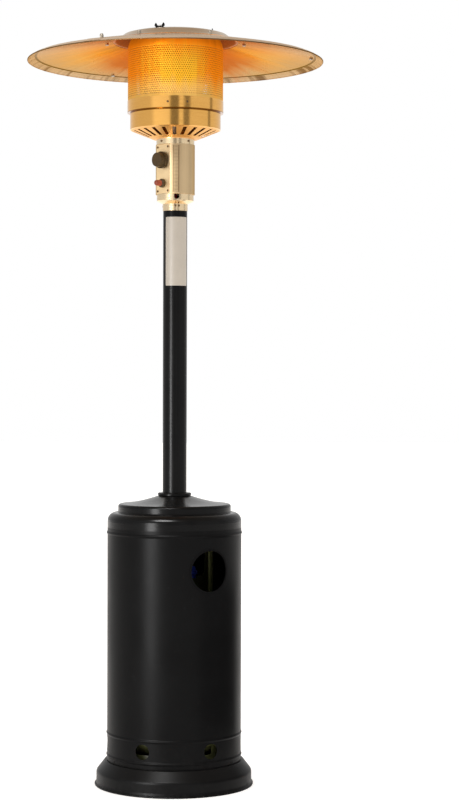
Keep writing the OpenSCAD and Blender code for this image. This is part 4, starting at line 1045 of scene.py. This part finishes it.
class HEATER_OT_head(bpy.types.Operator):
    """Finishes the neck, the control shell with its panel, knob and igniter, and the burner pan"""

    bl_idname = "heater.head"
    bl_label = "Control head"

    def execute(self, context):
        c = context.scene.heater_colours
        warm_light_tone = c.warm_light_tone, c.warm_light_lines
        coat(
            sheet_metal("Neck sheet", c.neck, shade(c.neck, 0.8), 0.2, (5.0, 0.0, 500.0)),
            "head_neck", "top_collar",
        )
        # Shell and panel tints: beige sheet, partly painted warm light from the emitter
        shell = c.shell, shade(c.shell, 0.75)
        coat(
            sheet_metal("Control sheet", *shell, 0.34, (90.0, 0.0, 3.0), edge=SHELL_EDGE),
            "control_shell",
        )
        coat(
            sheet_metal("Panel sheet", c.panel, shade(c.panel, 0.85), 0.42, (4.0, 0.0, 700.0)),
            "control_panel",
        )
        # Pan and band: bare steel with a gold tint that is painted warm light from the emitter
        coat(
            sheet_metal("Gold sheet", *warm_light_tone, 0.13, (3.0, 60.0, 260.0), joint=BAND_LOW.z, dull=CUP_FOOT),
            "burner_pan", "emitter_band",
        )
        # The emitter's top: the same painted warm light tint, with its heat tint
        coat(sheet_metal("Top sheet", *warm_light_tone, 0.3, (4.0, 300.0, 0.0), heat=TOP_HEAT), "emitter_top")
        coat(
            moulding("Knob moulding", c.knob, 0.5, gloss=0.15),
            "control_knob", "igniter_bezel", "igniter_body",
        )
        coat(moulding("Button moulding", c.button, 0.4, fine=400.0, depth=0.06, gloss=0.2), "igniter_button")
        seam = ladder_seam(
            SHELL_HIGH.x, *SEAM_TURNS, SHELL_LOW.z + SEAM_END, SHELL_HIGH.z - SEAM_END, SEAM_RUNGS
        )
        made = sheet_metal("Seam sheet", *SEAM, 0.4, (5.0, 0.0, 500.0))
        piece("shell_seam", seam, made, "heater")
        return {"FINISHED"}


class HEATER_OT_emitter(bpy.types.Operator):
    """Makes the glowing emitter with its fine holes, and the burner inside"""

    bl_idname = "heater.emitter"
    bl_label = "Emitter"

    def execute(self, context):
        sizes = context.scene.heater_sizes
        reach = SCREEN_HIGH.x
        taper = TOP_LOW.z - TAPER_H
        profile = [
            (reach, SCREEN_LOW.z + SHEET_GAP), (reach, BAND_HIGH.z - SHEET_LAP), (reach, taper),
            *((reach - drawn, taper + rise) for drawn, rise in TAPER_BEND),
            (TOP_HIGH.x, TOP_LOW.z - SHEET_GAP),
        ]
        mesh = perforated_tube(
            profile, sizes.hole_columns, sizes.hole_rows, sizes.hole_share,
            BAND_HIGH.z + MARGIN_LOW, taper - MARGIN_HIGH,
        )
        glow = hot_sheet("Emitter glow", context.scene.heater_colours)
        screen = piece("emitter_sheet", mesh, glow, "heater")
        thick = thicken(screen, SHEET_THICK, -1)
        thick.material_offset = 1
        thick.material_offset_rim = 1
        mesh.materials.append(moulding("Emitter inside", EMITTER_INSIDE, 0.7))
        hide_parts("emitter_screen")
        coat(hot_burner("Burner steel"), "burner", "thermocouple")
        coat(moulding("Electrode ceramic", CERAMIC, 0.35, fine=300.0, depth=0.05), "spark_electrode")
        return {"FINISHED"}


class HEATER_OT_reflector(bpy.types.Operator):
    """Finishes the dome and the three segments of the dish"""

    bl_idname = "heater.reflector"
    bl_label = "Reflector"

    def execute(self, context):
        c = context.scene.heater_colours
        segments = dish_sheet("Dish sheet", c.reflector, c.dome, DISH_EDGE)
        coat(segments, "segment_right", "segment_rear", "segment_left")
        coat(dish_sheet("Dome sheet", c.reflector, c.dome, DOME_EDGE), "reflector_dome")
        return {"FINISHED"}


class HEATER_OT_gas(bpy.types.Operator):
    """Finishes the gas bottle with its valve, wheel and regulator, and the brass up to the burner"""

    bl_idname = "heater.gas"
    bl_label = "Gas bottle"

    def execute(self, context):
        c = context.scene.heater_colours
        # Olive bottle paint, darkened with painted shade for the dark inside the housing
        coat(enamel("Bottle paint", c.olive_shaded, 0.42), "gas_bottle", "foot_ring", "valve_guard")
        coat(enamel("Regulator enamel", c.enamel, 0.3), "regulator")
        coat(moulding("Wheel moulding", c.wheel, 0.28, fine=500.0, depth=0.08), "handwheel")
        coat(
            sheet_metal("Turned brass", c.brass, shade(c.brass, 0.6), 0.26, (8.0, 500.0, 700.0)),
            "bottle_valve", "valve_cap", "union_nut", "gas_valve", "valve_plunger", "tilt_weight",
            "feed_pipe", "jet", "pilot_burner",
        )
        return {"FINISHED"}


class HEATER_OT_fasteners(bpy.types.Operator):
    """Finishes bolts, screws, studs and other plated steel"""

    bl_idname = "heater.fasteners"
    bl_label = "Fasteners"

    def execute(self, context):
        coat(
            sheet_metal("Plated steel", *PLATED, 0.3, STEEL_LINES),
            "hose_ferrules", "foot_bolts", "flange_bolts", "valve_stem", "tilt_bracket", "tilt_pin",
            "pilot_arm", "studs", "spacers",
        )
        coat(
            sheet_metal("Browned steel", *BROWNED, 0.35, STEEL_LINES),
            "neck_screws", "panel_screws", "band_screws",
        )
        coat(sheet_metal("Dull steel", *DULLED, 0.34, STEEL_LINES), "seam_bolts")
        coat(powder_coat("Wing nut coat", context.scene.heater_colours.coat, rough=0.5), "wing_nuts")
        return {"FINISHED"}


class HEATER_PT_panel(bpy.types.Panel):
    """Buttons for the steps that build the heater"""

    bl_idname = "HEATER_PT_panel"
    bl_label = "Gas patio heater"
    bl_space_type = "VIEW_3D"
    bl_region_type = "UI"
    bl_category = "Heater"

    def draw(self, context):
        for kind in STEPS:
            self.layout.operator(kind.bl_idname)


GROUPS = (
    make_place_group, make_grain_group, make_lines_group, make_dust_group, make_heat_group, make_scuff_group,
)
SETTINGS = {"heater_colours": HeaterColours, "heater_sizes": HeaterSizes, "heater_studio": HeaterStudio}
STEPS = (
    HEATER_OT_stage, HEATER_OT_hose, HEATER_OT_black_coat, HEATER_OT_bare_plate, HEATER_OT_head,
    HEATER_OT_emitter, HEATER_OT_reflector, HEATER_OT_gas, HEATER_OT_fasteners,
)


def register():
    for kind in (*SETTINGS.values(), *STEPS, HEATER_PT_panel):
        bpy.utils.register_class(kind)
    for name, kind in SETTINGS.items():
        setattr(bpy.types.Scene, name, bpy.props.PointerProperty(type=kind))


def unregister():
    for name in SETTINGS:
        delattr(bpy.types.Scene, name)
    for kind in (*SETTINGS.values(), *STEPS, HEATER_PT_panel):
        bpy.utils.unregister_class(kind)


def main():
    register()
    for make in GROUPS:
        make()
    for kind in STEPS:
        family, name = kind.bl_idname.split(".")
        getattr(getattr(bpy.ops, family), name)()


if __name__ == "__main__":
    main()
